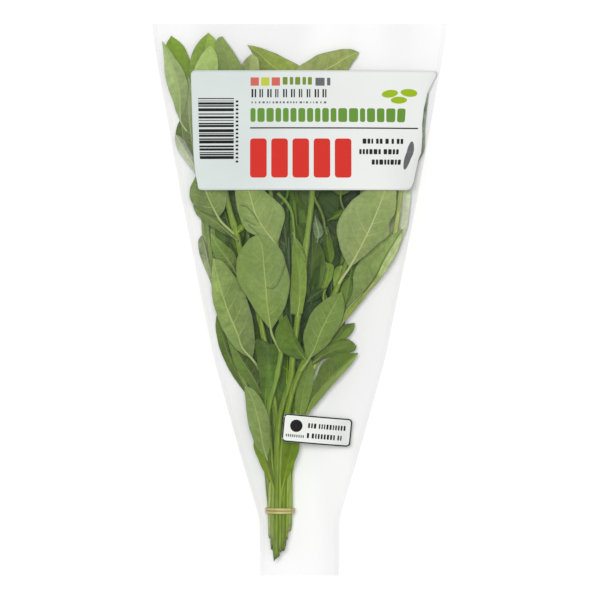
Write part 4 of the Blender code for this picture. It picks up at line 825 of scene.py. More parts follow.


# Painted shade and light on each blade: how much lighter the right half of a blade is than the left (half of it), and
# its tip than its foot, as the light falls on it.
HALF = {
    "leaf_behind_petiole": (0.03, -0.18), "leaf_bright_low": (0.12, 0.02), "leaf_centre_narrow": (-0.02, 0.35),
    "leaf_centre_strip": (0.11, 0.24), "leaf_dark_centre": (0.14, -0.81), "leaf_deep_broad": (0.20, -0.59),
    "leaf_deep_centre": (0.35, 0.74), "leaf_deep_centre_low": (-0.31, -0.45), "leaf_deep_left": (0.35, -0.80),
    "leaf_deep_low_centre": (0.35, 0.04), "leaf_deep_right_grey": (-0.11, -0.48),
    "leaf_deep_right_high": (-0.33, 0.85), "leaf_front_centre": (-0.02, -0.11), "leaf_hanging_lower": (0.17, -0.50),
    "leaf_hanging_upper": (0.35, 0.85), "leaf_left_bright": (-0.03, 0.85), "leaf_left_fold": (-0.06, 0.85),
    "leaf_left_large": (-0.15, 0.67), "leaf_left_upper": (0.14, 0.85), "leaf_low_left_foot": (-0.27, -0.02),
    "leaf_lower_left_mid": (-0.35, 0.73), "leaf_lower_right": (0.04, 0.15), "leaf_lowest_left": (-0.02, 0.12),
    "leaf_right_big": (0.00, 0.41), "leaf_right_fold_low": (0.29, 0.61), "leaf_right_outer": (-0.08, 0.85),
    "leaf_right_small_point": (0.01, 0.85), "leaf_right_small_upper": (0.34, 0.13),
    "leaf_rim_left_fold": (-0.24, -0.12), "leaf_rim_left_grey": (-0.34, -0.28), "leaf_rim_left_low": (-0.20, 0.44),
    "leaf_rim_right_low": (0.21, 0.28), "leaf_top_behind_left": (0.08, 0.85), "leaf_top_fourth": (0.08, 0.64),
    "leaf_top_front": (-0.04, 0.23), "leaf_top_left_fill": (0.21, 0.81), "leaf_top_long_left": (0.09, -0.38),
    "leaf_top_long_right": (0.06, -0.09), "leaf_top_pale_left": (-0.13, 0.43), "leaf_top_second": (0.16, 0.25),
    "leaf_top_small": (0.18, 0.29), "leaf_upper_centre_left": (-0.00, 0.19),
}


def leaf_material(name, tint, seed, spacing=7.0, brown=0, mottle=0.0, vein=1.0):
    # lightness from the table; its darkest entries are painted shade deep in the bunch
    tone_and_shade = TONE_AND_SHADE.get(name, (SHADE, SHADE, SHADE))
    under, upper, light = (tuple(c * k for c, k in zip(col, tone_and_shade)) for col in TINTS[tint])
    look_up = LOOK.get(name, ("upper", "deep", 0))[0] == "upper"
    n = Nodes(name)
    s_mm, t_mm, w_mm = n.split(n.attribute("lf").outputs["Vector"])
    v, side, stalk = n.split(n.attribute("lg").outputs["Vector"])
    off = (seed * 0.37, seed * 0.11, seed * 0.23)
    where = n.place(offset=off)
    vein = VEIN.get(name, 1.0)
    s = n.math("ABSOLUTE", s_mm)
    sign = n.math("GREATER_THAN", s_mm, 0.0)
    edge = n.math("DIVIDE", s, n.math("MAXIMUM", w_mm, 0.05))

    wobble = n.math("MULTIPLY", n.math("SUBTRACT", n.noise(where, 220.0, 1.0), 0.5), 0.9)
    # midrib
    width = n.line(v, 0.0, 1.0, 0.44, 0.13)
    mid = n.step(n.math("SUBTRACT", s, width), -0.06, 0.08, 1.0, 0.0)
    # side veins leave the midrib at a slant and bend towards the tip
    reach = n.math("ADD", n.math("MULTIPLY", s, 0.62), n.math("MULTIPLY", n.math("MULTIPLY", s, s), 0.028))
    phase = n.math("DIVIDE", n.math("SUBTRACT", n.math("ADD", t_mm, wobble), reach), spacing)
    phase = n.math("ADD", phase, n.math("MULTIPLY", sign, 0.22 + 0.1 * math.sin(seed)))
    frac = n.math("FRACT", n.math("ADD", phase, 50.0 + 0.35 * math.sin(seed * 3.1)))
    away = n.math("MULTIPLY", n.math("SUBTRACT", 0.5, n.math("ABSOLUTE", n.math("SUBTRACT", frac, 0.5))), spacing * 0.82)
    ident = n.math("FLOOR", n.math("ADD", phase, 50.5 + 0.35 * math.sin(seed * 3.1)))
    white = n.node("ShaderNodeTexWhiteNoise", noise_dimensions="2D")
    comb = n.node("ShaderNodeCombineXYZ")
    n.put(comb.inputs[0], ident)
    n.put(comb.inputs[1], n.math("ADD", n.math("MULTIPLY", sign, 7.0), float(seed % 97)))
    n.put(white.inputs["Vector"], comb.outputs[0])
    power = n.line(white.outputs["Value"], 0.0, 1.0, 0.10, 1.0)
    lat_w = n.line(edge, 0.0, 1.0, 0.20, 0.07)
    lat = n.step(n.math("SUBTRACT", away, lat_w), -0.05, 0.10, 1.0, 0.0)
    fade = n.math("MULTIPLY", n.step(edge, 0.50, 0.96, 1.0, 0.0), n.math("MULTIPLY", n.step(v, 0.80, 0.95, 1.0, 0.0), n.step(v, 0.02, 0.08)))
    lat = n.math("MULTIPLY", n.math("MULTIPLY", lat, fade), power)
    blade = n.math("SUBTRACT", 1.0, stalk)
    lat = n.math("MULTIPLY", lat, blade)
    mid = n.math("MAXIMUM", mid, stalk)
    # fine net of small veins
    cells = n.node("ShaderNodeTexVoronoi", feature="DISTANCE_TO_EDGE", voronoi_dimensions="3D")
    n.put(cells.inputs["Vector"], where)
    cells.inputs["Scale"].default_value = 620.0
    net = n.step(cells.outputs["Distance"], 0.0, 0.16, 1.0, 0.0)
    net = n.math("MULTIPLY", net, blade)

    cloud = n.noise(where, 46.0, 2.0, 0.55)
    fine = n.noise(where, 420.0, 3.0, 0.6)
    streak = n.noise(where, 130.0, 3.0, 0.6, 0.6)

    col = n.mix(side, under, upper)
    # broad darker patches: painted shade standing in for the blade's soft undulations
    undulation_shade = tuple(c * k for c, k in zip(under, (0.74, 0.82, 0.68)))
    undulation_shade_up = tuple(c * k for c, k in zip(upper, (0.62, 0.72, 0.62)))
    col = n.mix(n.math("MULTIPLY", n.step(cloud, 0.40, 0.66), 0.55), col, n.mix(side, undulation_shade, undulation_shade_up))
    warm = tuple(c * k for c, k in zip(under, (1.22, 1.10, 0.80)))
    warm_up = tuple(c * k for c, k in zip(upper, (1.40, 1.22, 0.85)))
    near_rib = n.math("MULTIPLY", n.step(edge, 0.0, 0.55, 1.0, 0.0), n.step(v, 0.0, 0.75, 0.6, 0.05))
    col = n.mix(n.math("MULTIPLY", near_rib, 0.6), col, n.mix(side, warm, warm_up))
    # cooler, greyer towards the margin
    cool = tuple(min(1, c * k) for c, k in zip(under, (1.02, 1.02, 1.25)))
    col = n.mix(n.math("MULTIPLY", n.step(edge, 0.55, 1.0), 0.5), col, n.mix(side, cool, tuple(c * 0.95 for c in upper)))
    grain = n.line(fine, 0.30, 0.70, 0.86, 1.14)
    patch = n.line(streak, 0.30, 0.70, 0.93 - 0.25 * mottle, 1.07 + 0.25 * mottle)
    mult = n.math("MULTIPLY", grain, patch)
    # painted shade: one half of the blade and one end darker than the other
    if name in HALF:
        lean, rise = HALF[name]
        mult = n.math("MULTIPLY", mult, n.line(s_mm, -1.2, 1.2, 1 - lean, 1 + lean))
        mult = n.math("MULTIPLY", mult, n.line(v, 0.0, 1.0, 1 - rise / 2, 1 + rise / 2))
    gray = n.node("ShaderNodeCombineColor")
    for k in range(3):
        n.put(gray.inputs[k], mult)
    col = n.mix(1.0, col, gray.outputs[0], "MULTIPLY")
    # painted shade and light: long dark and pale streaks on leaves deep in the bunch
    if name.startswith(("leaf_deep", "leaf_back")):
        long_ = n.place(offset=off, scale=(1.0, 0.28, 1.0))
        band = n.noise(long_, 150.0, 2.0, 0.5, 0.5)
        col = n.mix(n.math("MULTIPLY", n.step(band, 0.50, 0.60), 0.60), col, tuple(c * 0.42 for c in (upper if look_up else under)))
        col = n.mix(n.math("MULTIPLY", n.step(band, 0.40, 0.48, 1.0, 0.0), 0.35), col, tuple(min(1.0, c * 1.7) for c in (upper if look_up else under)))
    # painted light: the right half of a folded leaf is painted lighter in blotches, with darker lines across it
    if name in RIGHT_HALF_LIT:
        k = RIGHT_HALF_LIT[name]
        blotch = n.step(n.noise(where, 160.0, 2.0, 0.6), 0.32, 0.68, 0.55, 1.0)
        own = upper if look_up else under
        half = n.mix(n.step(v, 0.15, 0.85), tuple(min(0.8, a * b) for a, b in zip(own, k[0])), tuple(min(0.8, a * b) for a, b in zip(own, k[1])))
        lines = n.noise(n.place(offset=off, scale=(1.0, 1.0, 1.0)), 60.0, 1.0)
        ribs = n.math("COSINE", n.math("MULTIPLY", n.math("ADD", s_mm, n.math("MULTIPLY", lines, 3.0)), 3.1))
        half = n.mix(n.line(ribs, 0.2, 1.0, 0.0, 0.25), half, tuple(c * 0.7 for c in own))
        col = n.mix(n.math("MULTIPLY", n.step(s_mm, 0.1, 0.7), blotch), col, half)
    col = n.mix(n.math("MULTIPLY", net, 0.10), col, light)
    col = n.mix(n.math("MULTIPLY", lat, 0.78 * vein), col, light)
    # painted shade: a dark line down the midrib where the leaf folds
    if name in FOLD_LINE_SHADED:
        blade_mid = n.math("MULTIPLY", mid, n.math("SUBTRACT", 1.0, stalk))
        col = n.mix(n.math("MULTIPLY", blade_mid, 0.75), col, tuple(c * 0.30 for c in under))
        col = n.mix(n.math("MULTIPLY", stalk, 0.8), col, light)
    else:
        col = n.mix(n.math("MULTIPLY", mid, n.math("MAXIMUM", n.line(side, 0, 1, 0.96 * vein, 0.76 * vein), n.math("MULTIPLY", stalk, 0.8))), col, light)
    # painted shade: dark lines along each crease
    for k, run in enumerate(CREASE_SHADES.get(name, ())):
        place = n.split(n.place())
        px, py = n.math("MULTIPLY", place[0], 1000.0), n.math("MULTIPLY", place[1], 1000.0)
        near = None
        for (ax, ay), (bx, by) in zip(run[:-1], run[1:]):
            dx, dy = bx - ax, by - ay
            long2 = dx * dx + dy * dy
            t = n.math("DIVIDE", n.math("ADD", n.math("MULTIPLY", n.math("SUBTRACT", px, ax), dx),
                                        n.math("MULTIPLY", n.math("SUBTRACT", py, ay), dy)), long2, clamp=True)
            ex = n.math("SUBTRACT", px, n.math("ADD", n.math("MULTIPLY", t, dx), ax))
            ey = n.math("SUBTRACT", py, n.math("ADD", n.math("MULTIPLY", t, dy), ay))
            d = n.math("SQRT", n.math("ADD", n.math("MULTIPLY", ex, ex), n.math("MULTIPLY", ey, ey)))
            near = d if near is None else n.math("MINIMUM", near, d)
        near = n.math("ADD", near, n.math("MULTIPLY", n.math("SUBTRACT", n.noise(where, 900.0, 2.0), 0.5), 0.5))
        col = n.mix(n.math("MULTIPLY", n.step(near, 0.2, 1.5, 1.0, 0.0), 0.25), col, tuple(c * 0.5 for c in under))
        col = n.mix(n.math("MULTIPLY", n.step(near, 0.10, 0.42, 1.0, 0.0), 0.75), col, tuple(c * 0.30 for c in under))
    # pale thin margin: a painted highlight along the leaf's edge
    rim = n.math("MULTIPLY", n.step(edge, 0.955, 1.0), blade)
    col = n.mix(n.math("MULTIPLY", rim, 0.30), col, light)
    if mottle:
        specks = n.step(n.noise(where, 700.0, 2.0, 0.7), 0.60, 0.72)
        col = n.mix(n.math("MULTIPLY", specks, 0.5 * mottle), col, (0.045, 0.070, 0.035))
    if brown:
        ragged = n.math("ADD", edge, n.math("MULTIPLY", n.math("SUBTRACT", n.noise(where, 260.0, 2.0), 0.5), 0.5))
        tipward = n.step(v, 0.55, 0.95)
        burnt = n.math("MAXIMUM", n.math("MULTIPLY", n.step(ragged, 0.80, 1.0), n.step(v, 0.35, 0.7)), n.math("MULTIPLY", n.step(ragged, 0.45, 0.95), n.step(v, 0.88, 0.99)))
        col = n.mix(n.math("MULTIPLY", burnt, 0.85), col, (0.085, 0.050, 0.022))
    n.put(n.bsdf.inputs["Base Color"], col)
    rough = n.line(fine, 0.3, 0.7, 0.54, 0.68)
    rough = n.math("SUBTRACT", rough, n.math("MULTIPLY", side, 0.10))
    n.put(n.bsdf.inputs["Roughness"], rough)
    n.bsdf.inputs["Specular IOR Level"].default_value = 0.12
    n.bsdf.inputs["Sheen Weight"].default_value = 0.03
    n.bsdf.inputs["Sheen Roughness"].default_value = 0.5
    updown = n.line(side, 0, 1, 1.0, -1.0)
    relief = n.math("MULTIPLY", n.math("ADD", n.math("MULTIPLY", lat, 1.0), n.math("MULTIPLY", net, 0.22)), updown)
    relief = n.math("ADD", relief, n.math("MULTIPLY", fine, 0.35))
    n.bump(relief, 0.55, 0.00022)
    return n.mat


# ================================================================= stems
STEM_PATHS = {}


def stem_material(name, seed, dark=0.0):
    n = Nodes(name)
    along, round_, cap = n.split(n.attribute("st").outputs["Vector"])
    where = n.place(offset=(seed * 0.31, seed * 0.17, 0), scale=(1, 0.12, 1))
    plain = n.place(offset=(seed * 0.31, seed * 0.17, 0))
    streak = n.noise(where, 900.0, 3.0, 0.6)
    cloud = n.noise(plain, 34.0, 2.0)
    fine = n.noise(plain, 900.0, 2.0)
    base = n.mix(n.step(cloud, 0.35, 0.70), (0.235, 0.345, 0.045), (0.165, 0.270, 0.036))
    # the four ribs are painted pale green, a painted highlight, and the grooves darker, painted shade
    rib = n.math("COSINE", n.math("MULTIPLY", round_, 4.0))
    base = n.mix(n.line(rib, -1.0, 1.0, 0.0, 0.45), base, (0.370, 0.480, 0.100))
    base = n.mix(n.math("MULTIPLY", n.step(streak, 0.45, 0.62), 0.45), base, (0.110, 0.195, 0.022))
    base = n.mix(n.math("MULTIPLY", n.step(streak, 0.30, 0.42, 1.0, 0.0), 0.5), base, (0.390, 0.490, 0.120))
    # browned near the cut
    near = n.math("MULTIPLY", n.step(along, 0.5, 9.0, 1.0, 0.0), n.step(n.noise(plain, 420.0, 2.0), 0.46, 0.60))
    near = n.math("MAXIMUM", near, n.step(along, 0.6, 2.6, 1.0, 0.0))
    base = n.mix(n.math("MULTIPLY", near, 0.80), base, (0.070, 0.048, 0.028))
    low = n.step(along, 0.0, 26.0, 1.0, 0.0)
    base = n.mix(n.math("MULTIPLY", low, 0.45), base, (0.205, 0.275, 0.105))
    pith = n.mix(n.step(n.noise(plain, 1500.0, 2.0), 0.42, 0.6), (0.26, 0.25, 0.12), (0.12, 0.10, 0.05))
    base = n.mix(cap, base, pith)
    # lightness from the table; the inner stems are very dark there, painted shade
    tone_and_shade = n.node("ShaderNodeCombineColor")
    for k, c in enumerate(TONE_AND_SHADE.get(name, (1.0, 1.0, 1.0))):
        tone_and_shade.inputs[k].default_value = c
    base = n.mix(1.0, base, tone_and_shade.outputs[0], "MULTIPLY")
    n.put(n.bsdf.inputs["Base Color"], base)
    n.put(n.bsdf.inputs["Roughness"], n.line(fine, 0.3, 0.7, 0.40, 0.55))
    n.bsdf.inputs["Specular IOR Level"].default_value = 0.25
    n.bump(n.math("ADD", n.math("MULTIPLY", streak, 0.8), n.math("MULTIPLY", fine, 0.3)), 0.5, 0.00022)
    return n.mat


def make_stem(row, order, strand=False):
    name, layer, r0, r1, points = row
    cut_off = points[0][1] < -130
    if strand:
        span = math.dist(points[0][:2], points[-1][:2])
        path = spline_through(points, max(24, int(span / 1.4)))
    else:
        tree = tree_of(name)
        path = spline_through([(p[0], p[1], p[2]) for p in points], 190)
        z = np.array([mid_height(tree, x, y) for x, y, _ in path])
        good = np.isfinite(z)
        z = np.interp(np.arange(len(z)), np.arange(len(z))[good], z[good])
        for _ in range(30):
            z[1:-1] = 0.5 * z[1:-1] + 0.25 * (z[:-2] + z[2:])
        path[:, 2] = z
    run = np.concatenate([[0], np.cumsum(np.linalg.norm(np.diff(path, axis=0), axis=1))])
    radius = np.interp(run, [0, run[-1]], [r0, r1])
    # raise over what the looks have added below it
    ix, iy = cell_of(path[:, 0], path[:, 1])
    need = np.where((path[:, 1] > -80) & (not strand), np.maximum(top_of[ix, iy] + 0.15 + radius - path[:, 2], 0), 0)
    lift = need.copy()
    for _ in range(120):
        near = np.convolve(np.pad(lift, 2, mode="edge"), np.ones(5) / 5, "valid")
        lift = np.maximum(need, near)
    for _ in range(8):
        lift = np.convolve(np.pad(lift, 2, mode="edge"), np.ones(5) / 5, "valid")
    path[:, 2] += lift * np.clip((path[:, 1] + 90) / 20, 0, 1)
    # joints of the stem: a slight swelling every 36 mm or so above the tie, and slow bends
    swell = np.ones(len(path))
    rs = np.random.RandomState(100 + order)
    at = 70 + rs.rand() * 25
    while at < run[-1] - 15:
        swell += 0.16 * np.exp(-((run - at) / 2.2) ** 2) - 0.04 * np.exp(-((run - at - 6) / 5) ** 2)
        at += 30 + rs.rand() * 16
    swell *= 1 + 0.05 * np.sin(run / 9.0 + order) + 0.035 * np.sin(run / 3.7 + 2 * order)
    path[:, 0] += (0.22 if not strand else 0.06) * np.sin(run / 13.0 + order * 1.7) * np.clip(run / 60, 0, 1)
    if name == "stem_middle":
        radius = radius * (1 + 0.25 * np.clip((path[:, 1] - 15) / 15, 0, 1))
    if name == "stem_right":
        path[:, 0] -= 4.4 * np.exp(-((path[:, 1] + 41) / 15) ** 2)
    if cut_off:
        STEM_PATHS[name] = (path.copy(), radius.copy())
    slant = [(0.7, -0.4), (-0.8, 0.3), (0.5, 0.7), (-0.6, -0.6), (0.9, 0.2), (-0.3, 0.8)][order % 6] if cut_off else None
    sides = 20 if not strand else 14
    co, faces, idx = tube(path, radius * swell, sides, squareness=0.075, cut=slant, twist=0.9, dome=0.5)
    if cut_off:
        # the cut is torn: fibres of unlike length round a sunken, shrunken middle
        tan0 = (path[1] - path[0]) / np.linalg.norm(path[1] - path[0])
        fray = rs.rand(sides)
        fray = 0.45 * fray + 0.55 * np.roll(fray, 1) * (rs.rand(sides) < 0.45)
        co[:sides] += tan0 * ((0.5 - fray) * 1.5 * radius[0])[:, None]
        for k, pinch in ((0, 0.78), (1, 0.90)):
            ring = co[idx[k]]
            co[idx[k]] = ring.mean(0) + (ring - ring.mean(0)) * np.where(rs.rand(sides) < 0.3, pinch * 0.85, pinch)[:, None]
    obj = smooth_object(name + ("" if strand else "_look"), co, faces)
    around = np.tile(np.linspace(0, 2 * math.pi, sides, endpoint=False), len(path))
    st = np.zeros((len(co), 3))
    st[:-2, 0] = np.repeat(run if cut_off else run + 60.0, sides)
    st[:-2, 1] = around
    st[-2] = (0, 0, 1 if cut_off else 0)
    st[-1] = (run[-1] + 60.0, 0, 0)
    att = obj.data.attributes.new("st", "FLOAT_VECTOR", "POINT")
    att.data.foreach_set("vector", st.astype(np.float32).ravel())
    obj.data.materials.append(stem_material(name, order + 1))
    for a in np.linspace(-1, 1, 7):
        record_top(path[:, 0] + a * radius, path[:, 1], path[:, 2] + radius * math.sqrt(1 - a * a))
    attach(obj, "root")
    if not strand:
        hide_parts(name)
    return obj


# ================================================================= leaves
def blade_width(t):
    t = np.clip(t, 0, 1)
    w = np.sin(math.pi * t ** 0.86) ** 0.85
    return w * (1.0 - 0.22 * np.maximum(0.0, (t - 0.7) / 0.3))


CAD_V = np.array([0.0, 0.10, 0.24, 0.40, 0.57, 0.74, 0.89, 1.0])
CAD_C = np.array([-1.0, -0.5, 0.0, 0.5, 1.0])


def cad_blade(row, v, c):
    """Places of the CAD leaf's blade in plan at fractions v along and c across."""
    _, _, base, tip, wl, wr, bow, _, zb, zt, arch, rl, rr = row
    base, tip = np.array(base, float), np.array(tip, float)
    along = tip - base
    length = np.hypot(*along)
    along /= length
    left = np.array([-along[1], along[0]])
    mid = base + np.outer(v, along * length) + np.outer(bow * np.sin(math.pi * v), left)
    f = blade_width(v)
    half = np.where(c < 0, wl, wr)
    reach = np.abs(c)[None, :] * half[None, :] * f[:, None]
    place = mid[:, None, :] + left * np.where(c < 0, 1.0, -1.0)[None, :, None] * reach[..., None]
    z = zb + (zt - zb) * v[:, None] + arch * np.sin(math.pi * v)[:, None] \
        + np.where(c < 0, rl, rr)[None, :] * c[None, :] ** 2 * f[:, None]
    return place, z, length


def bicubic(values, v_at, c_at, v, c):
    """Smooth values given on a coarse grid over a finer one."""
    def cubic(x, y, at):
        m = np.gradient(y, x, axis=0)
        k = np.clip(np.searchsorted(x, at) - 1, 0, len(x) - 2)
        h = (x[k + 1] - x[k])
        t = np.clip((at - x[k]) / h, 0, 1)
        sh = (-1,) + (1,) * (y.ndim - 1)
        t, h = t.reshape(sh), h.reshape(sh)
        return ((2 * t ** 3 - 3 * t ** 2 + 1) * y[k] + (t ** 3 - 2 * t ** 2 + t) * h * m[k]
                + (-2 * t ** 3 + 3 * t ** 2) * y[k + 1] + (t ** 3 - t ** 2) * h * m[k + 1])
    rows = cubic(v_at, values, v)
    return cubic(c_at, rows.T, c).T


def leaf_heights(row, on_cad):
    """Heights of the middle surface at the CAD blade's own places."""
    place, z, _ = cad_blade(row, CAD_V, CAD_C)
    if not on_cad:
        return z
    tree = tree_of(row[0])
    found = np.full(z.shape, np.nan)
    for i in range(z.shape[0]):
        for j in range(z.shape[1]):
            for pull in (0.995, 0.97, 0.9, 0.75):
                p = place[i, 2] + (place[i, j] - place[i, 2]) * pull
                if i in (0, z.shape[0] - 1):
                    k = 1 if i == 0 else z.shape[0] - 2
                    p = p * pull + place[k, 2] * (1 - pull)
                h = mid_height(tree, p[0], p[1])
                if math.isfinite(h):
                    found[i, j] = h
                    break
    middle = found[:, 2]
    ok = np.isfinite(middle)
    middle = np.interp(np.arange(len(middle)), np.arange(len(middle))[ok], middle[ok])
    for j in range(z.shape[1]):
        found[:, j] = np.where(np.isfinite(found[:, j]), found[:, j], middle)
    return found


def join_stem(p, reach=16.0):
    """The nearest place on a stem's middle line, for a petiole to run into."""
    best, where = 1e9, None
    for path, radius in STEM_PATHS.values():
        d = np.linalg.norm((path - p) * (1, 0.7, 1), axis=1)
        k = int(np.argmin(d))
        if d[k] < best:
            best, where = d[k], path[k]
    return where if best < reach else None


# where a leaf's stalk dips out of sight, when that isn't at a stem (mm)
STALK_END = {
    "leaf_left_large": (-24.2, -42.5, 9.5),
    "leaf_centre_strip": (-1.2, -11.5, 20.0),
    "leaf_dark_centre": (-19.0, -68.5, 12.0),
    "leaf_bright_low": (-10.4, -122.0, 16.6),
    "leaf_low_left_foot": (-15.2, -121.0, 14.2),
    "leaf_hanging_upper": (16.6, 43.5, 14.8),
    "leaf_rim_right_low": (45.5, 19.0, 3.4),
    "leaf_lowest_left": (-19.2, -96.5, 12.5),
    "leaf_label_right": (31.5, 44.0, 15.0),
}


def make_leaf(row, order, extra=False):
    name, layer, base, tip, wl, wr, bow, stalk, zb, zt, arch, rl, rr = row
    big = (wl + wr) > 17
    seed = order + 3
    rs = np.random.RandomState(seed * 13 + 1)
    nv = 56 if big else 40
    outer = 11 if big else 8
    v = np.linspace(0, 1, nv)
    v = v + 0.02 * np.sin(2 * math.pi * v)
    v = np.clip(v, 0, 1)
    coarse = leaf_heights(row, not extra)
    if name in SHAPES:
        lft = spline_through(SHAPES[name][1], 400)
        rgt = spline_through(SHAPES[name][2], 400)
        mid = spline_through(SHAPES[name][0], 400) if SHAPES[name][0] else (lft + rgt) / 2
        pick = np.clip((v * 399).round().astype(int), 0, 399)
        mid, lft, rgt = mid[pick], lft[pick], rgt[pick]
    else:
        c3 = np.array([-1.0, 0.0, 1.0])
        place, _, _ = cad_blade(row, v, c3)
        lft, mid, rgt = place[:, 0], place[:, 1], place[:, 2]
    length = float(np.sum(np.linalg.norm(np.diff(mid, axis=0), axis=1)))
    # a little life in the outline
    wave = 1 + 0.025 * np.sin(v * 9 + seed) + 0.018 * np.sin(v * 23 + 2 * seed)
    teeth = 0.12 * np.abs(np.sin(v * length / 3.4 * math.pi / 2 + seed)) if name not in SHAPES else 0.08 * np.abs(np.sin(v * length / 3.4 * math.pi / 2 + seed))
    grid = np.zeros((nv, 2 * (3 + outer) + 1, 3))
    s_of = np.zeros(grid.shape[:2])
    w_of = np.zeros(grid.shape[:2])
    inner = np.array([0.30, 0.62, 1.0])
    for i in range(nv):
        for sgn, edge in ((-1, lft[i]), (1, rgt[i])):
            span = edge - mid[i]
            width = max(np.hypot(*span), 1e-6)
            unit = span / width
            least = 0.55 if v[i] < 0.5 else 0.12
            width = max(width * wave[i] + (teeth[i] if width > 2 else 0), least)
            k = min(1.0, width / 3.2)
            f = np.linspace(0, 1, outer + 1)[1:]
            f = 1 - (1 - f) ** 1.12
            s = np.concatenate([inner * k, k + (width - k) * f])
            for j, q in enumerate(s):
                col = (3 + outer) + sgn * (j + 1)
                grid[i, col, :2] = mid[i] + unit * q
                s_of[i, col] = sgn * q
                w_of[i, col] = width
        grid[i, 3 + outer, :2] = mid[i]
        w_of[i, 3 + outer] = max(w_of[i, 2 + outer], w_of[i, 4 + outer])
    across = s_of / np.maximum(w_of, 1e-6)
    # heights: the CAD's, smoothed over the blade
    for i in range(nv):
        grid[i, :, 2] = 0
    z_row = bicubic(coarse, CAD_V, CAD_C, v, np.linspace(-1, 1, 41))
    for i in range(nv):
        grid[i, :, 2] = np.interp(across[i], np.linspace(-1, 1, 41), z_row[i])
    # relief: midrib, the quilting between side veins, and a wavy margin
    side_sign = 1.0 if LOOK.get(name, ("upper", "deep", 0))[0] == "under" else -1.0
    spacing = max(4.5, min(8.0, length / 7.5))
    t_mm = np.repeat((v * length)[:, None], grid.shape[1], 1)
    sa = np.abs(s_of)
    fade = np.clip(1 - np.abs(across) ** 3, 0, 1) * (np.sin(math.pi * np.clip(v, 0, 1)) ** 0.5)[:, None]
    off = 0.22 + 0.1 * math.sin(seed)
    phase = (t_mm - 0.62 * sa - 0.028 * sa ** 2) / spacing + off * (s_of > 0) + 0.35 * math.sin(seed * 3.1)
    quilt = -np.cos(2 * math.pi * phase) * np.clip(sa / 1.6, 0, 1)
    relief = -side_sign * 0.20 * quilt * fade * (0.6 + 0.4 * (length / 60))
    rib = 0.42 * (1 - v) ** 0.7 + 0.06
    relief += side_sign * rib[:, None] * np.exp(-(s_of / 0.55) ** 2) * 0.55
    valley = -side_sign * 0.35 * np.exp(-(s_of / 2.4) ** 2) * np.sin(math.pi * v)[:, None]
    margin = (0.35 + 0.5 * rs.rand()) * np.sin(v[:, None] * (7 + 4 * rs.rand()) + np.where(s_of > 0, 1.0, 2.6) + seed) \
        * np.abs(across) ** 3 * np.sin(math.pi * v)[:, None]
    grid[..., 2] += relief + valley + margin * (1.0 if length > 30 else 0.5)
    thick = 0.34 - 0.14 * np.abs(across) ** 4
    grid = settle(grid, 0.2, 0.12, rounds=90 if big else 60)

    look = LOOK.get(name, ("upper", "deep", 0))
    lf = np.stack([s_of, t_mm, w_of], -1)
    facing = np.zeros(grid.shape[:2]) if look[0] == "under" else np.ones(grid.shape[:2])
    lg = lambda side: np.stack([np.repeat(v[:, None], grid.shape[1], 1), side, np.zeros(grid.shape[:2])], -1)
    obj = closed_sheet(name + "_look" if not extra else name, grid, thick,
                       {"lf": ("FLOAT_VECTOR", lf), "lg": ("FLOAT_VECTOR", (lg(facing), lg(1 - facing)))})
    # petiole: from inside the blade's foot to the stem
    c = 3 + outer
    foot = grid[0, c].copy()
    inside = grid[min(nv - 1, int(0.16 * nv)), c].copy()
    lead = foot - inside
    lead /= max(np.linalg.norm(lead), 1e-6)
    end = np.array([stalk[0], stalk[1], foot[2] - 1.0])
    if name in STALK_END:
        end = np.array(STALK_END[name], float)
    elif extra:
        end = foot + lead * 2.5 + (0, 0, -1.2)
    else:
        joined = join_stem(end)
        if joined is not None:
            end = joined
    end[2] = max(end[2], 1.1)
    gap = np.linalg.norm(end - foot)
    t = np.linspace(0, 1, 22)[:, None]
    back = (foot - end) / max(gap, 1e-6)
    back = back + np.array([0, 0.8 if back[1] > 0 else -0.8, 0]) * abs(back[1])
    back /= max(np.linalg.norm(back), 1e-6)
    b0, b1, b2, b3 = foot, foot + lead * gap * 0.35, end + back * gap * 0.30, end
    curve = (1 - t) ** 3 * b0 + 3 * (1 - t) ** 2 * t * b1 + 3 * (1 - t) * t ** 2 * b2 + t ** 3 * b3
    blade_part = np.array([grid[i, c] for i in range(int(0.30 * nv), 0, -2)])
    path = np.vstack([blade_part, curve])
    stout = 1.0 if big else 0.78
    if wl + wr < 7:
        stout = 0.5
    radii = np.concatenate([np.linspace(0.22, 0.66, len(blade_part)), np.linspace(0.70, 0.88, len(curve))]) * stout
    path[: len(blade_part), 2] += side_sign * np.linspace(0.05, 0.25, len(blade_part)) * stout
    co, faces, idx = tube(path[::-1], radii[::-1], 10)
    pet = smooth_object(name + "_petiole", co, faces)
    near = np.concatenate([np.repeat(np.linspace(0.0, 0.3, len(path)), 10), [0.0, 0.3]])
    n = len(co)
    a = pet.data.attributes.new("lf", "FLOAT_VECTOR", "POINT")
    a.data.foreach_set("vector", np.tile([0.0, 0.0, 1.0], (n, 1)).astype(np.float32).ravel())
    a = pet.data.attributes.new("lg", "FLOAT_VECTOR", "POINT")
    a.data.foreach_set("vector", np.stack([near, np.zeros(n), np.ones(n)], -1).astype(np.float32).ravel())
    mat = leaf_material(name, look[1], seed, spacing, look[2], 1.0 if look[1] == "greymottle" else (0.5 if look[1] in ("deepmid", "olive", "olivebright") else 0.0))
    obj.data.materials.append(mat)
    pet.data.materials.append(mat)
    with bpy.context.temp_override(active_object=obj, selected_editable_objects=[obj, pet], object=obj):
        bpy.ops.object.join()
    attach(obj, "root")
    if not extra:
        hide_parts(name)
    record_top(path[:, 0], path[:, 1], path[:, 2] + radii)
    return obj


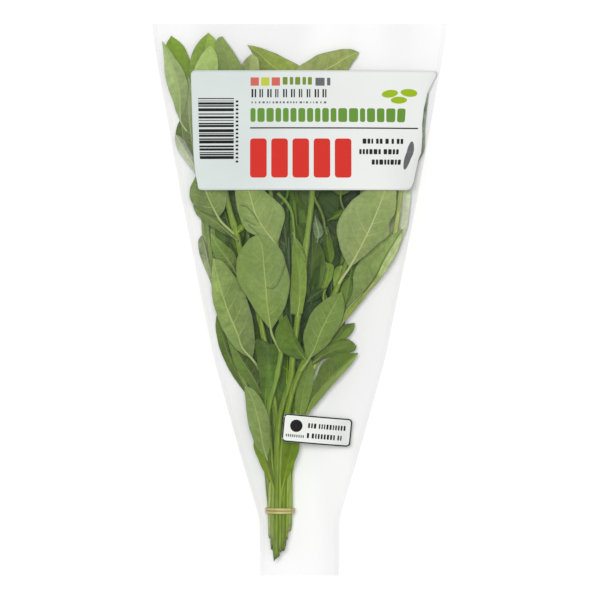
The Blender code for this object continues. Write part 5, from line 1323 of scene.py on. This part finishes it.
# ================================================================= build the bunch
everything = [(r[1], 0, "leaf", r) for r in LEAVES] + [(r[1], 1, "extra", r) for r in EXTRA] \
    + [(r[1], 2, "stem", r) for r in STEMS] + [(r[1], 3, "strand", r) for r in STRANDS]
everything.sort(key=lambda p: (p[0], p[1]))
for stem in [e for e in everything if e[2] == "stem"]:
    row = stem[3]
    path = spline_through(row[4], 190)
    STEM_PATHS[row[0]] = (path, np.linspace(row[2], row[3], 190))
for order, (_, _, kind, row) in enumerate(everything):
    if kind in ("stem", "strand"):
        make_stem(row, order, kind == "strand")
    else:
        make_leaf(row, order, kind == "extra")

# ================================================================= rubber band
def hull(points):
    pts = sorted(set(map(tuple, points)))

    def chain(seq):
        out = []
        for p in seq:
            while len(out) > 1 and ((out[-1][0] - out[-2][0]) * (p[1] - out[-2][1])
                                    - (out[-1][1] - out[-2][1]) * (p[0] - out[-2][0])) <= 0:
                out.pop()
            out.append(p)
        return out

    lower, upper = chain(pts), chain(list(reversed(pts)))
    return np.array(lower[:-1] + upper[:-1])


def rubber_material():
    n = Nodes("rubber_band")
    where = n.place()
    fine = n.noise(where, 700.0, 3.0, 0.6)
    cloud = n.noise(where, 90.0, 2.0)
    col = n.mix(n.step(cloud, 0.35, 0.7), (0.56, 0.49, 0.21), (0.44, 0.39, 0.14))
    col = n.mix(n.math("MULTIPLY", n.step(fine, 0.5, 0.75), 0.35), col, (0.66, 0.60, 0.33))
    n.put(n.bsdf.inputs["Base Color"], col)
    n.put(n.bsdf.inputs["Roughness"], n.line(fine, 0.3, 0.7, 0.5, 0.65))
    n.bsdf.inputs["Specular IOR Level"].default_value = 0.2
    n.bump(fine, 0.4, 0.0002)
    return n.mat


def make_band():
    ring = []
    for path, radius in STEM_PATHS.values():
        k = int(np.argmin(np.abs(path[:, 1] - BAND_Y)))
        x, z, r = path[k, 0], path[k, 2], radius[k] * 1.1
        for a in np.linspace(0, 2 * math.pi, 24, endpoint=False):
            ring.append((round(x + (r + 0.80) * math.cos(a), 4), round(z + (r + 0.80) * math.sin(a), 4)))
    loop = hull(ring)
    loop = np.vstack([loop, loop[:1]])
    run = np.concatenate([[0], np.cumsum(np.linalg.norm(np.diff(loop, axis=0), axis=1))])
    at = np.linspace(0, run[-1], 121)[:-1]
    px, pz = np.interp(at, run, loop[:, 0]), np.interp(at, run, loop[:, 1])
    for _ in range(3):
        px = 0.5 * px + 0.25 * (np.roll(px, 1) + np.roll(px, -1))
        pz = 0.5 * pz + 0.25 * (np.roll(pz, 1) + np.roll(pz, -1))
    cx, cz = px.mean(), pz.mean()
    all_co, all_faces, start = [], [], 0
    around = np.linspace(0, 2 * math.pi, 120, endpoint=False)
    for k in range(2):
        dy = (k - 0.5) * 1.62 + 0.14 * np.sin(around * 1 + k * 2.1) + 0.05 * np.sin(around * 3 + k) - 0.5 * np.cos(around) * 0.0
        out = 1 + 0.004 * np.sin(around * 2 + k * 1.3)
        path = np.stack([cx + (px - cx) * out, BAND_Y + dy, cz + (pz - cz) * out], -1)
        sides = 12
        tan = np.roll(path, -1, 0) - np.roll(path, 1, 0)
        tan /= np.linalg.norm(tan, axis=1, keepdims=True)
        w = np.array([0, 1.0, 0]) - tan * tan[:, 1:2]
        w /= np.linalg.norm(w, axis=1, keepdims=True)
        u = np.cross(tan, w)
        ang = np.linspace(0, 2 * math.pi, sides, endpoint=False)
        tw = 0.35 * np.sin(around)[:, None] + ang[None, :]
        # a strand of nearly square section that turns as it goes round
        r = 0.80 * (1 + 0.08 * np.cos(4 * ang))[None, :]
        co = path[:, None, :] + (np.cos(tw) * r)[..., None] * u[:, None, :] + (np.sin(tw) * r)[..., None] * w[:, None, :]
        idx = start + np.arange(120 * sides).reshape(120, sides)
        a, b = idx, np.roll(idx, -1, 1)
        c, d = np.roll(b, -1, 0), np.roll(a, -1, 0)
        all_co.append(co.reshape(-1, 3))
        all_faces += np.stack([a, b, c, d], -1).reshape(-1, 4).tolist()
        start += 120 * sides
        record_top(path[:, 0], path[:, 1], path[:, 2] + 0.95)
    obj = smooth_object("rubber_band_look", np.vstack(all_co), all_faces)
    obj.data.materials.append(rubber_material())
    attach(obj, "root")
    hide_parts("rubber_band")


make_band()


# ================================================================= sleeve film
def film_material(name, strength, grey=0.0):
    n = Nodes(name)
    inset, along, _ = n.split(n.attribute("fm").outputs["Vector"])   # mm in from the seal's edge, mm along
    long_ = n.place(scale=(1.0, 0.10, 1.0))
    plain = n.place()
    folds = n.noise(long_, 55.0, 3.0, 0.55, 0.4)
    fine = n.noise(plain, 260.0, 2.0)
    # streaks along the folds: painted reflection on the front film, painted shade on the grey back film
    painted_fold_streaks = n.step(folds, 0.36, 0.68)
    seal = n.step(inset, 2.4, 3.2, 1.0, 0.0)
    crimp = n.math("PINGPONG", along, 0.6)
    alpha = n.math("ADD", strength * 0.75, n.math("MULTIPLY", painted_fold_streaks, strength * 0.55))
    alpha = n.math("ADD", alpha, n.math("MULTIPLY", seal, n.line(crimp, 0.0, 0.6, 0.012, 0.028)))
    near_edge = n.step(inset, 0.0, 16.0, 1.0, 0.0)
    alpha = n.math("ADD", alpha, n.math("MULTIPLY", near_edge, strength * 0.35))
    if grey:
        # soft grey patches stretched along the sleeve, where the two sheets lie on each other: painted shade, added to
        # the film's own slight dimming
        broad = n.noise(n.place(offset=(3.1, 0.7, 0.0), scale=(1.0, 0.35, 1.0)), 17.0, 1.0, 0.4, 0.6)
        alpha = n.math("ADD", alpha, n.math("MULTIPLY", n.step(broad, 0.38, 0.62), grey))
        alpha = n.math("ADD", alpha, grey * 0.25)
    pale, paler = ((0.50, 0.51, 0.515), (0.56, 0.57, 0.57)) if grey else ((0.78, 0.80, 0.79), (0.86, 0.87, 0.87))
    n.put(n.bsdf.inputs["Base Color"], n.mix(painted_fold_streaks, pale, paler))
    n.put(n.bsdf.inputs["Alpha"], alpha)
    gloss = (0.45, 0.60) if grey else (0.10, 0.20)
    n.put(n.bsdf.inputs["Roughness"], n.line(fine, 0.3, 0.7, *gloss))
    n.bsdf.inputs["Specular IOR Level"].default_value = 0.08 if grey else 0.4
    n.bump(n.math("ADD", n.math("MULTIPLY", folds, 1.0), n.math("ADD", n.math("MULTIPLY", fine, 0.15), n.math("MULTIPLY", n.math("MULTIPLY", crimp, seal), 0.5))), 0.6, 0.0006)
    return n.mat


def film_grid(nx, ny):
    ys = np.linspace(NECK_Y, MOUTH_Y, ny)
    u = np.sin(np.linspace(-1, 1, nx) * math.pi / 2 * 0.92) / math.sin(math.pi / 2 * 0.92)
    w = station(HALF_WIDTHS, ys)
    # corners of the taper eased over a few mm
    for _ in range(6):
        w[1:-1] = 0.5 * w[1:-1] + 0.25 * (w[:-2] + w[2:])
    grid = np.zeros((ny, nx, 3))
    grid[..., 0] = w[:, None] * u[None, :]
    grid[..., 1] = ys[:, None]
    inset = w[:, None] - np.abs(grid[..., 0])
    fm = np.stack([inset, grid[..., 1], np.zeros_like(inset)], -1)
    return grid, fm, w, u


def make_back():
    grid, fm, w, u = film_grid(61, 121)
    grid[..., 2] = 0.10
    obj = film_sheet("sleeve_back_look", grid, fm)
    obj.data.materials.append(film_material("sleeve_back", 0.018, grey=0.095))
    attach(obj, "root")
    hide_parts("sleeve_back")


def make_front():
    nx, ny = 121, 221
    grid, fm, w, u = film_grid(nx, ny)
    tree = tree_of("sleeve_front")
    gx, gy = np.linspace(-1, 1, 61), np.linspace(NECK_Y + 0.3, MOUTH_Y - 0.3, 81)
    gu = np.sin(gx * math.pi / 2 * 0.92) / math.sin(math.pi / 2 * 0.92)
    z = np.zeros((len(gy), len(gx)))
    for i, y in enumerate(gy):
        ww = float(station(HALF_WIDTHS, y))
        for j, q in enumerate(gu):
            h = mid_height(tree, q * ww * 0.998, y)
            z[i, j] = h if math.isfinite(h) else np.nan
    for i in range(len(gy)):
        ok = np.isfinite(z[i])
        z[i] = np.interp(np.arange(len(gx)), np.arange(len(gx))[ok], z[i][ok])
    edge_keep = z.copy()
    for _ in range(3):
        p = np.pad(z, 1, mode="edge")
        z = (p[:-2, 1:-1] + p[2:, 1:-1] + p[1:-1, :-2] + p[1:-1, 2:] + 4 * z) / 8
        z[:, :2] = edge_keep[:, :2]
        z[:, -2:] = edge_keep[:, -2:]
    # read at the finer grid
    fy = (grid[:, 0, 1] - gy[0]) / (gy[-1] - gy[0]) * (len(gy) - 1)
    fy = np.clip(fy, 0, len(gy) - 1.001)
    iy = fy.astype(int)
    ty = (fy - iy)[:, None]
    zr = z[iy] * (1 - ty) + z[iy + 1] * ty
    fx = (np.linspace(-1, 1, nx) + 1) / 2 * (len(gx) - 1)
    fx = np.clip(fx, 0, len(gx) - 1.001)
    ix = fx.astype(int)
    tx = (fx - ix)[None, :]
    zz = zr[:, ix] * (1 - tx) + zr[:, ix + 1] * tx
    grid[..., 2] = zz
    # soft folds that run down towards the neck, and puckers along the seals
    x, y = grid[..., 0], grid[..., 1]
    uu = x / np.maximum(w[:, None], 1)
    inside = np.clip((w[:, None] - np.abs(x) - 3.2) / 8, 0, 1)
    fold = 0.0
    for k, (f, ph, a) in enumerate([(9.0, 0.4, 0.40), (15.0, 1.9, 0.26), (23.0, 4.0, 0.16), (31.0, 2.2, 0.10)]):
        fold = fold + a * (0.5 + 0.5 * np.sin(f * uu + ph + 0.012 * y * (1 + 0.3 * k) + 1.3 * np.sin(y / 47.0 + k))) ** 2
    pucker = 0.45 * np.clip(1 - (w[:, None] - np.abs(x) - 3) / 12, 0, 1) * (0.5 + 0.5 * np.sin(y / 5.2 + np.sin(y / 17.0) * 2 + np.where(x > 0, 0, 2.0))) ** 2
    grid[..., 2] += (fold + pucker) * inside
    # the mouth's lip waves a little
    grid[..., 2] += np.clip((y - 148) / 18, 0, 1) * 0.8 * (0.5 + 0.5 * np.sin(uu * 7 + 0.8)) * inside
    grid = settle(grid, 0.1, 0.2, rounds=30)
    obj = film_sheet("sleeve_front_look", grid, fm)
    obj.data.materials.append(film_material("sleeve_front", 0.014))
    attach(obj, "root")
    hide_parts("sleeve_front")


make_back()
make_front()


# ================================================================= label and sticker
LABEL_TOP, LABEL_BOTTOM = 136.9, 65.2
LABEL_LEFT = [(65.2, -60.0), (75.0, -61.9), (86.0, -63.1), (103.0, -63.8), (120.0, -64.3), (133.0, -64.8), (136.9, -64.8)]
LABEL_RIGHT = [(65.2, 65.6), (70.0, 68.0), (74.5, 68.9), (84.0, 71.1), (88.0, 72.7), (97.0, 73.4), (105.0, 73.3), (114.5, 74.4), (124.0, 76.7), (136.9, 83.4)]


def paper_material(name, colour, seed, gloss=0.42, far=None):
    n = Nodes(name)
    where = n.place(offset=(seed, 0, 0))
    fibre = n.noise(n.place(offset=(seed, 0, 0), scale=(1, 0.35, 1)), 1400.0, 3.0, 0.6)
    cloud = n.noise(where, 30.0, 2.0)
    dark = tuple(c * 0.955 for c in colour)
    col = n.mix(n.step(cloud, 0.35, 0.7), colour, dark)
    if far:
        # painted shade and light across the paper: darker and greener to the left, where leaves lie close under it,
        # lighter to the right
        col = n.mix(n.step(n.split(n.place())[0], -0.050, 0.055), col, far)
    col = n.mix(n.math("MULTIPLY", n.step(fibre, 0.5, 0.75), 0.10), col, tuple(c * 0.86 for c in colour))
    n.put(n.bsdf.inputs["Base Color"], col)
    n.put(n.bsdf.inputs["Roughness"], n.line(fibre, 0.3, 0.7, gloss + 0.1, gloss + 0.22))
    n.bsdf.inputs["Specular IOR Level"].default_value = 0.12
    n.bump(n.math("ADD", fibre, n.math("MULTIPLY", cloud, 2.0)), 0.25, 0.0001)
    return n.mat


def ink_material(name, colour, seed=0):
    n = Nodes(name)
    where = n.place(offset=(seed, 0, 0))
    grain = n.noise(where, 2200.0, 2.0, 0.6)
    wear = n.noise(where, 160.0, 2.0)
    light = tuple(min(1.0, c * 1.22 + 0.008) for c in colour)
    col = n.mix(n.math("MULTIPLY", n.step(grain, 0.45, 0.70), 0.4), colour, light)
    col = n.mix(n.math("MULTIPLY", n.step(wear, 0.5, 0.75), 0.12), col, light)
    n.put(n.bsdf.inputs["Base Color"], col)
    n.put(n.bsdf.inputs["Roughness"], n.line(grain, 0.3, 0.7, 0.52, 0.66))
    n.bsdf.inputs["Specular IOR Level"].default_value = 0.10
    return n.mat


class Panel:
    """A paper panel laid on the film, in its own flat coordinates, with marks printed on it."""

    def __init__(self, name, to_plan, size, corner, step, thick=0.16, gap=0.10, wave=0.0, ink=0.035, low=1.0):
        self.name, self.to_plan, self.size, self.ink = name, to_plan, size, ink
        W, H = size
        nx, ny = int(W / step) + 1, int(H / step) + 1
        edge = np.array([0, 0.12, 0.35, 0.65, 1.0]) * corner
        xs = np.concatenate([edge, np.linspace(corner, W - corner, nx)[1:-1], W - edge[::-1]])
        grid = np.zeros((ny, len(xs), 3))
        near = np.minimum(xs, W - xs)
        pull = np.where(near < corner, corner - np.sqrt(np.maximum(corner ** 2 - (corner - near) ** 2, 0.0)), 0.0)
        for j, (x, p) in enumerate(zip(xs, pull)):
            ys = np.linspace(p * low, H - p, ny)
            X, Y = to_plan(np.full(ny, x), ys)
            grid[:, j, 0], grid[:, j, 1] = X, Y
        ix, iy = cell_of(grid[..., 0], grid[..., 1])
        z = top_of[ix, iy].astype(float)
        # paper is stiffer than film: smooth its bed, then raise it clear
        for _ in range(40):
            p = np.pad(z, 1, mode="edge")
            z = np.maximum((p[:-2, 1:-1] + p[2:, 1:-1] + p[1:-1, :-2] + p[1:-1, 2:] + 4 * z) / 8, 0)
        grid[..., 2] = z + gap + thick / 2
        if wave:
            grid[..., 2] += wave * (0.5 + 0.5 * np.sin(grid[..., 0] / 11.0 + 1.0) * np.sin(grid[..., 1] / 17.0))
        grid = settle(grid, thick / 2, gap, rounds=40)
        self.grid, self.xs, self.thick = grid, xs, thick
        self.obj = closed_sheet(name, grid, thick)
        flat = finer(grid, 1).reshape(-1, 3)
        self.tree = BVHTree.FromPolygons(
            [Vector(p) for p in grid.reshape(-1, 3)],
            [(i * grid.shape[1] + j, i * grid.shape[1] + j + 1, (i + 1) * grid.shape[1] + j + 1, (i + 1) * grid.shape[1] + j)
             for i in range(grid.shape[0] - 1) for j in range(grid.shape[1] - 1)])
        self.marks = {}

    def height(self, x, y):
        hit = self.tree.ray_cast(Vector((x, y, 300)), Vector((0, 0, -1)))
        return hit[0].z if hit[0] is not None else float(np.median(self.grid[..., 2]))

    def shape(self, ink, outline, centre=None):
        """A printed patch: its outline in panel coordinates, filled as a fan of rings."""
        out = np.array(outline, float)
        mid = out.mean(0) if centre is None else np.array(centre, float)
        self.marks.setdefault(ink, []).append(("fan", out, mid))

    def bar(self, ink, x0, y0, x1, y1, r=0.0):
        self.marks.setdefault(ink, []).append(("bar", (x0, y0, x1, y1), r))

    def finish(self, inks):
        for ink, marks in self.marks.items():
            co, faces = [], []
            for kind, a, b in marks:
                if kind == "bar":
                    x0, y0, x1, y1 = a
                    r = min(b, abs(x1 - x0) / 2.001, abs(y1 - y0) / 2.001)
                    nx = max(2, int(abs(x1 - x0) / 0.9) + 2)
                    ny = max(2, int(abs(y1 - y0) / 0.9) + 2)
                    if r > 0:
                        e = np.array([0, 0.15, 0.5, 1.0]) * r
                        xs = np.concatenate([x0 + e, np.linspace(x0 + r, x1 - r, nx)[1:-1], x1 - e[::-1]])
                    else:
                        xs = np.linspace(x0, x1, nx)
                    near = np.minimum(xs - x0, x1 - xs)
                    pull = np.where(near < r, r - np.sqrt(np.maximum(r * r - (r - near) ** 2, 0)), 0) if r > 0 else np.zeros(len(xs))
                    rows = []
                    for i in range(ny):
                        f = i / (ny - 1)
                        yy = (y0 + pull) * (1 - f) + (y1 - pull) * f
                        rows.append(np.stack([xs, yy], -1))
                    pts = np.array(rows)
                else:
                    rings = max(2, int(np.max(np.linalg.norm(a - b, axis=1)) / 2.0) + 1)
                    f = np.linspace(0.02, 1, rings + 1)[:, None, None]
                    closed = np.vstack([a, a[:1]])
                    pts = b + (closed[None] - b) * f
                flat = pts.reshape(-1, 2)
                X, Y = self.to_plan(flat[:, 0], flat[:, 1])
                Z = np.array([self.height(x, y) for x, y in zip(X, Y)]) + self.thick / 2
                n0 = len(co)
                m, k = pts.shape[:2]
                low = np.stack([X, Y, Z - 0.02], -1)
                high = np.stack([X, Y, Z + self.ink], -1)
                co += high.tolist() + low.tolist()
                idx = n0 + np.arange(m * k).reshape(m, k)
                q = np.stack([idx[:-1, :-1], idx[:-1, 1:], idx[1:, 1:], idx[1:, :-1]], -1).reshape(-1, 4)
                e1, e2 = pts[0, -1] - pts[0, 0], pts[-1, 0] - pts[0, 0]
                area = 0.0
                for f4 in q[:1]:
                    p4 = high[f4 - n0]
                    d1, d2 = p4[1] - p4[0], p4[3] - p4[0]
                    area = d1[0] * d2[1] - d1[1] * d2[0]
                if area < 0:
                    q = q[:, ::-1]
                faces += q.tolist()
                faces += (q[:, ::-1] + m * k).tolist()
                ring = np.concatenate([idx[0, :-1], idx[:-1, -1], idx[-1, :0:-1], idx[:0:-1, 0]])
                nxt = np.roll(ring, -1)
                rim = np.stack([nxt, ring, ring + m * k, nxt + m * k], -1)
                if area < 0:
                    rim = rim[:, ::-1]
                faces += rim.tolist()
            mark = smooth_object(f"{self.name}_print_{ink}", co, faces)
            for poly in mark.data.polygons:
                poly.use_smooth = False
            mark.data.materials.append(ink_material(f"ink_{ink}", inks[ink], len(ink)))
            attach(mark, "root")


def label_plan(x, y):
    """Label coordinates, 142 wide and 71.7 tall from its lower left, to the plan. The middle of the
    label is square; only its two ends follow the slanting edges."""
    Y = LABEL_BOTTOM + y
    q = np.clip((x - 116.0) / 26.0, 0, 1)
    r = np.clip((14.0 - x) / 14.0, 0, 1)
    q, r = q * q * (3 - 2 * q), r * r * (3 - 2 * r)
    return -62.3 + x * 135.8 / 142.0 + q * (station(LABEL_RIGHT, Y) - 73.5) + r * (station(LABEL_LEFT, Y) + 62.3), Y


label = Panel("label_look", label_plan, (142.0, LABEL_TOP - LABEL_BOTTOM), 2.6, 1.6, wave=0.5, low=0.4)
# far: the lighter right end of the paper, painted light
label.obj.data.materials.append(paper_material("label_paper", (0.605, 0.660, 0.640), 1, far=(0.740, 0.750, 0.735)))
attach(label.obj, "root")
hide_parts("label")


def from_plan(px, py):
    """Plan place (mm) back to label coordinates."""
    return (px + 62.3) * 142.0 / 135.8, py - LABEL_BOTTOM


def label_bar(ink, x0, y0, x1, y1, r=0.0):
    """A bar given by its corners in the plan (mm)."""
    cy = (y0 + y1) / 2
    a, _ = from_plan(x0, cy)
    b, _ = from_plan(x1, cy)
    label.bar(ink, a, min(y0, y1) - LABEL_BOTTOM, b, max(y0, y1) - LABEL_BOTTOM, r)


# stacked bars of a plain code block, no digits
y = 120.2
rs = np.random.RandomState(21)
while y > 83.6:
    t = float(rs.choice([0.45, 0.6, 0.9, 1.1, 1.35, 1.8]))
    t = min(t, y - 83.1)
    label_bar("grey" if rs.rand() < 0.12 else "black", -58.8, y - t, -39.1, y)
    y -= t + float(rs.choice([0.35, 0.4, 0.45, 0.6, 0.9, 1.2]))
# a short row of plain ticks beside it
for k in range(16):
    label_bar("dark", -38.0, 81.6 + k * 2.4, -36.4, 81.6 + k * 2.4 + 1.2, 0.3)

# row of small colour squares and pale bars
for k, (ink, w) in enumerate([("coral", 5.0), ("lime", 5.0), ("coral", 5.0)]):
    label_bar(ink, -29.2 + k * 6.3, 127.6, -29.2 + k * 6.3 + w, 132.6, 0.3)
for k, w in enumerate([3.6, 2.6, 3.8, 2.6, 3.0, 2.4]):
    x = -10.0 + [0, 4.2, 7.4, 11.8, 15.0, 0][k] if k < 5 else None
    if x is not None:
        label_bar("olive", x, 128.2, x + w * 0.8, 132.8, 0.5)
label_bar("grey", 9.5, 127.6, 15.0, 132.4, 0.3)
label_bar("grey", 16.4, 127.8, 18.4, 132.4, 0.3)
# a row of slim dark strokes, then a fine row
x = -28.6
rs = np.random.RandomState(5)
for k in range(10):
    w = [2.6, 2.0, 2.4, 1.8, 2.2, 2.2, 1.9, 2.0, 2.4, 2.2][k]
    label_bar("dark", x, 120.6, x + w * 0.42, 125.6, 0.15)
    label_bar("dark", x + w * 0.72, 120.6, x + w * 1.08, 125.6, 0.15)
    x += 4.7
x = -28.6
while x < 17.0:
    w = 0.5 + rs.rand() * 1.1
    label_bar("grey", x, 117.0, x + w, 118.2, 0.2)
    x += w + 0.7 + rs.rand() * 0.8

# broad green band of plain blocks
x = -29.2
rs = np.random.RandomState(9)
while x < 62.5:
    w = 3.0 + rs.rand() * 2.6
    label_bar("green", x, 105.9, x + w, 114.2, 1.2)
    x += w + 1.1
# plain rule
label_bar("dark", -29.4, 101.9, 71.0, 102.7)
# large red blocks
for k in range(5):
    label_bar("red", -29.4 + k * 12.6, 72.6, -19.5 + k * 12.6, 96.0, 1.8)
# three short dark rows of plain bars, all of one height
for row_y, x_from, x_to in [(92.9, 37.6, 61.6), (86.6, 35.6, 61.0), (80.4, 43.0, 60.0)]:
    x = x_from
    rs = np.random.RandomState(int(row_y))
    while x < x_to:
        w = 1.1 + rs.rand() * 1.3
        label_bar("dark", x, row_y, x + w, row_y + 3.1, 0.4)
        x += w + (0.65 if rs.rand() < 0.8 else 1.7)
# plain grey oval at the far right of the rows, and three plain green ovals above
for ink, xc, yc, ra, rb, turn in [("grey", 66.5, 86.0, 2.4, 8.6, -0.12), ("leafgreen", 53.5, 123.0, 4.6, 2.3, 0.15), ("leafgreen", 63.5, 123.6, 4.6, 2.3, -0.15), ("leafgreen", 58.6, 119.2, 4.6, 2.1, 0.0)]:
    a, b = from_plan(xc, yc)
    pts = []
    for t in np.linspace(0, 2 * math.pi, 32, endpoint=False):
        ex, ey = ra * math.cos(t), rb * math.sin(t)
        pts.append((a + ex * math.cos(turn) - ey * math.sin(turn), b + ex * math.sin(turn) + ey * math.cos(turn)))
    label.shape(ink, pts)
INKS = {"black": (0.006, 0.006, 0.006), "dark": (0.016, 0.017, 0.018), "grey": (0.12, 0.125, 0.13), "coral": (0.55, 0.12, 0.09),
        "lime": (0.46, 0.50, 0.05), "olive": (0.16, 0.24, 0.03), "green": (0.115, 0.255, 0.035), "red": (0.56, 0.026, 0.018),
        "leafgreen": (0.28, 0.42, 0.012)}
label.finish(INKS)

TURN = math.radians(-5.4)


def sticker_plan(x, y):
    px, py = x - 20.6, y - 8.45
    c, s = math.cos(TURN), math.sin(TURN)
    return 10.5 + c * px - s * py, -77.8 + s * px + c * py


sticker = Panel("sticker_look", sticker_plan, (41.2, 16.9), 2.4, 0.9, thick=0.12, gap=0.08, ink=0.07)
sticker.obj.data.materials.append(paper_material("sticker_paper", (0.760, 0.790, 0.750), 4, 0.36))
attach(sticker.obj, "root")
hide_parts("sticker")
# dark outline, along the edge
t, lip, bend = 0.80, 0.06, 2.45
sticker.bar("outline", bend, lip, 41.2 - bend, lip + t)
sticker.bar("outline", bend, 16.9 - lip - t, 41.2 - bend, 16.9 - lip)
sticker.bar("outline", lip, bend, lip + t, 16.9 - bend)
sticker.bar("outline", 41.2 - lip - t, bend, 41.2 - lip, 16.9 - bend)
for cx, cy, a0 in [(bend, bend, math.pi), (41.2 - bend, bend, 1.5 * math.pi), (41.2 - bend, 16.9 - bend, 0),
                   (bend, 16.9 - bend, 0.5 * math.pi)]:
    for k in range(6):
        q0, q1 = a0 + k * math.pi / 12, a0 + (k + 1.04) * math.pi / 12
        r0, r1 = bend - lip - t, bend - lip
        sticker.shape("outline", [(cx + r0 * math.cos(q0), cy + r0 * math.sin(q0)), (cx + r1 * math.cos(q0), cy + r1 * math.sin(q0)),
                                  (cx + r1 * math.cos(q1), cy + r1 * math.sin(q1)), (cx + r0 * math.cos(q1), cy + r0 * math.sin(q1))])
# a plain dark disc, a row of ticks under it, and two rows of plain bars, all of one height
sticker.shape("ink", [(8.0 + 3.7 * math.cos(q), 10.1 + 3.7 * math.sin(q)) for q in np.linspace(0, 2 * math.pi, 36, endpoint=False)])
for k in range(9):
    sticker.bar("ink", 2.3 + k * 1.26, 3.2, 2.3 + k * 1.26 + 0.62, 4.9, 0.2)
for row_y, x_from, x_to, seed in [(9.4, 15.0, 36.4, 3), (3.4, 14.8, 36.6, 8)]:
    x = x_from
    rs = np.random.RandomState(seed)
    while x < x_to:
        w = 0.75 + rs.rand() * 0.65
        sticker.bar("ink", x, row_y, x + w, row_y + 3.0, 0.3)
        x += w + (0.72 if rs.rand() < 0.88 else 1.6)
sticker.finish({"outline": (0.016, 0.018, 0.020), "ink": (0.010, 0.010, 0.011)})


# ================================================================= floor, light, camera
def floor():
    n = 9
    grid = np.zeros((n, n, 3))
    grid[..., 0] = np.linspace(-3000, 3000, n)[None, :]
    grid[..., 1] = np.linspace(-3000, 3000, n)[:, None]
    grid[..., 2] = -0.6
    obj = closed_sheet("floor", grid, 1.0)
    nn = Nodes("floor")
    soft = nn.noise(nn.place(), 3.0, 2.0)
    nn.put(nn.bsdf.inputs["Base Color"], nn.mix(soft, (0.90, 0.90, 0.90), (0.92, 0.92, 0.92)))
    nn.bsdf.inputs["Roughness"].default_value = 0.9
    nn.bsdf.inputs["Specular IOR Level"].default_value = 0.0
    obj.data.materials.append(nn.mat)


floor()

world = bpy.data.worlds.new("studio")
bpy.context.scene.world = world
world.use_nodes = True
world.node_tree.nodes["Background"].inputs[0].default_value = (1.0, 1.0, 1.0, 1.0)
world.node_tree.nodes["Background"].inputs[1].default_value = 0.36


def area(name, where, aim, size, power):
    data = bpy.data.lights.new(name, "AREA")
    data.shape = "RECTANGLE"
    data.size, data.size_y = size
    data.energy = power
    obj = bpy.data.objects.new(name, data)
    bpy.context.scene.collection.objects.link(obj)
    obj.location = where
    direction = Vector(aim) - Vector(where)
    obj.rotation_euler = direction.to_track_quat("-Z", "Y").to_euler()
    return obj


area("key", (-0.20, 0.24, 3.3), (0, 0, 0), (0.9, 0.9), 78.0)
area("fill", (0.5, -0.3, 3.3), (0, 0, 0), (1.4, 1.4), 12.0)

cam_data = bpy.data.cameras.new("camera")
cam_data.sensor_width = 36.0
cam_data.lens = 300.0
cam_data.clip_start, cam_data.clip_end = 0.1, 50.0
cam = bpy.data.objects.new("camera", cam_data)
bpy.context.scene.collection.objects.link(cam)
cam.location = (0.0003, -0.00015, 3.0)
cam.rotation_euler = (0.0, 0.0, 0.0)
bpy.context.scene.camera = cam
bpy.context.scene.view_settings.view_transform = "Standard"
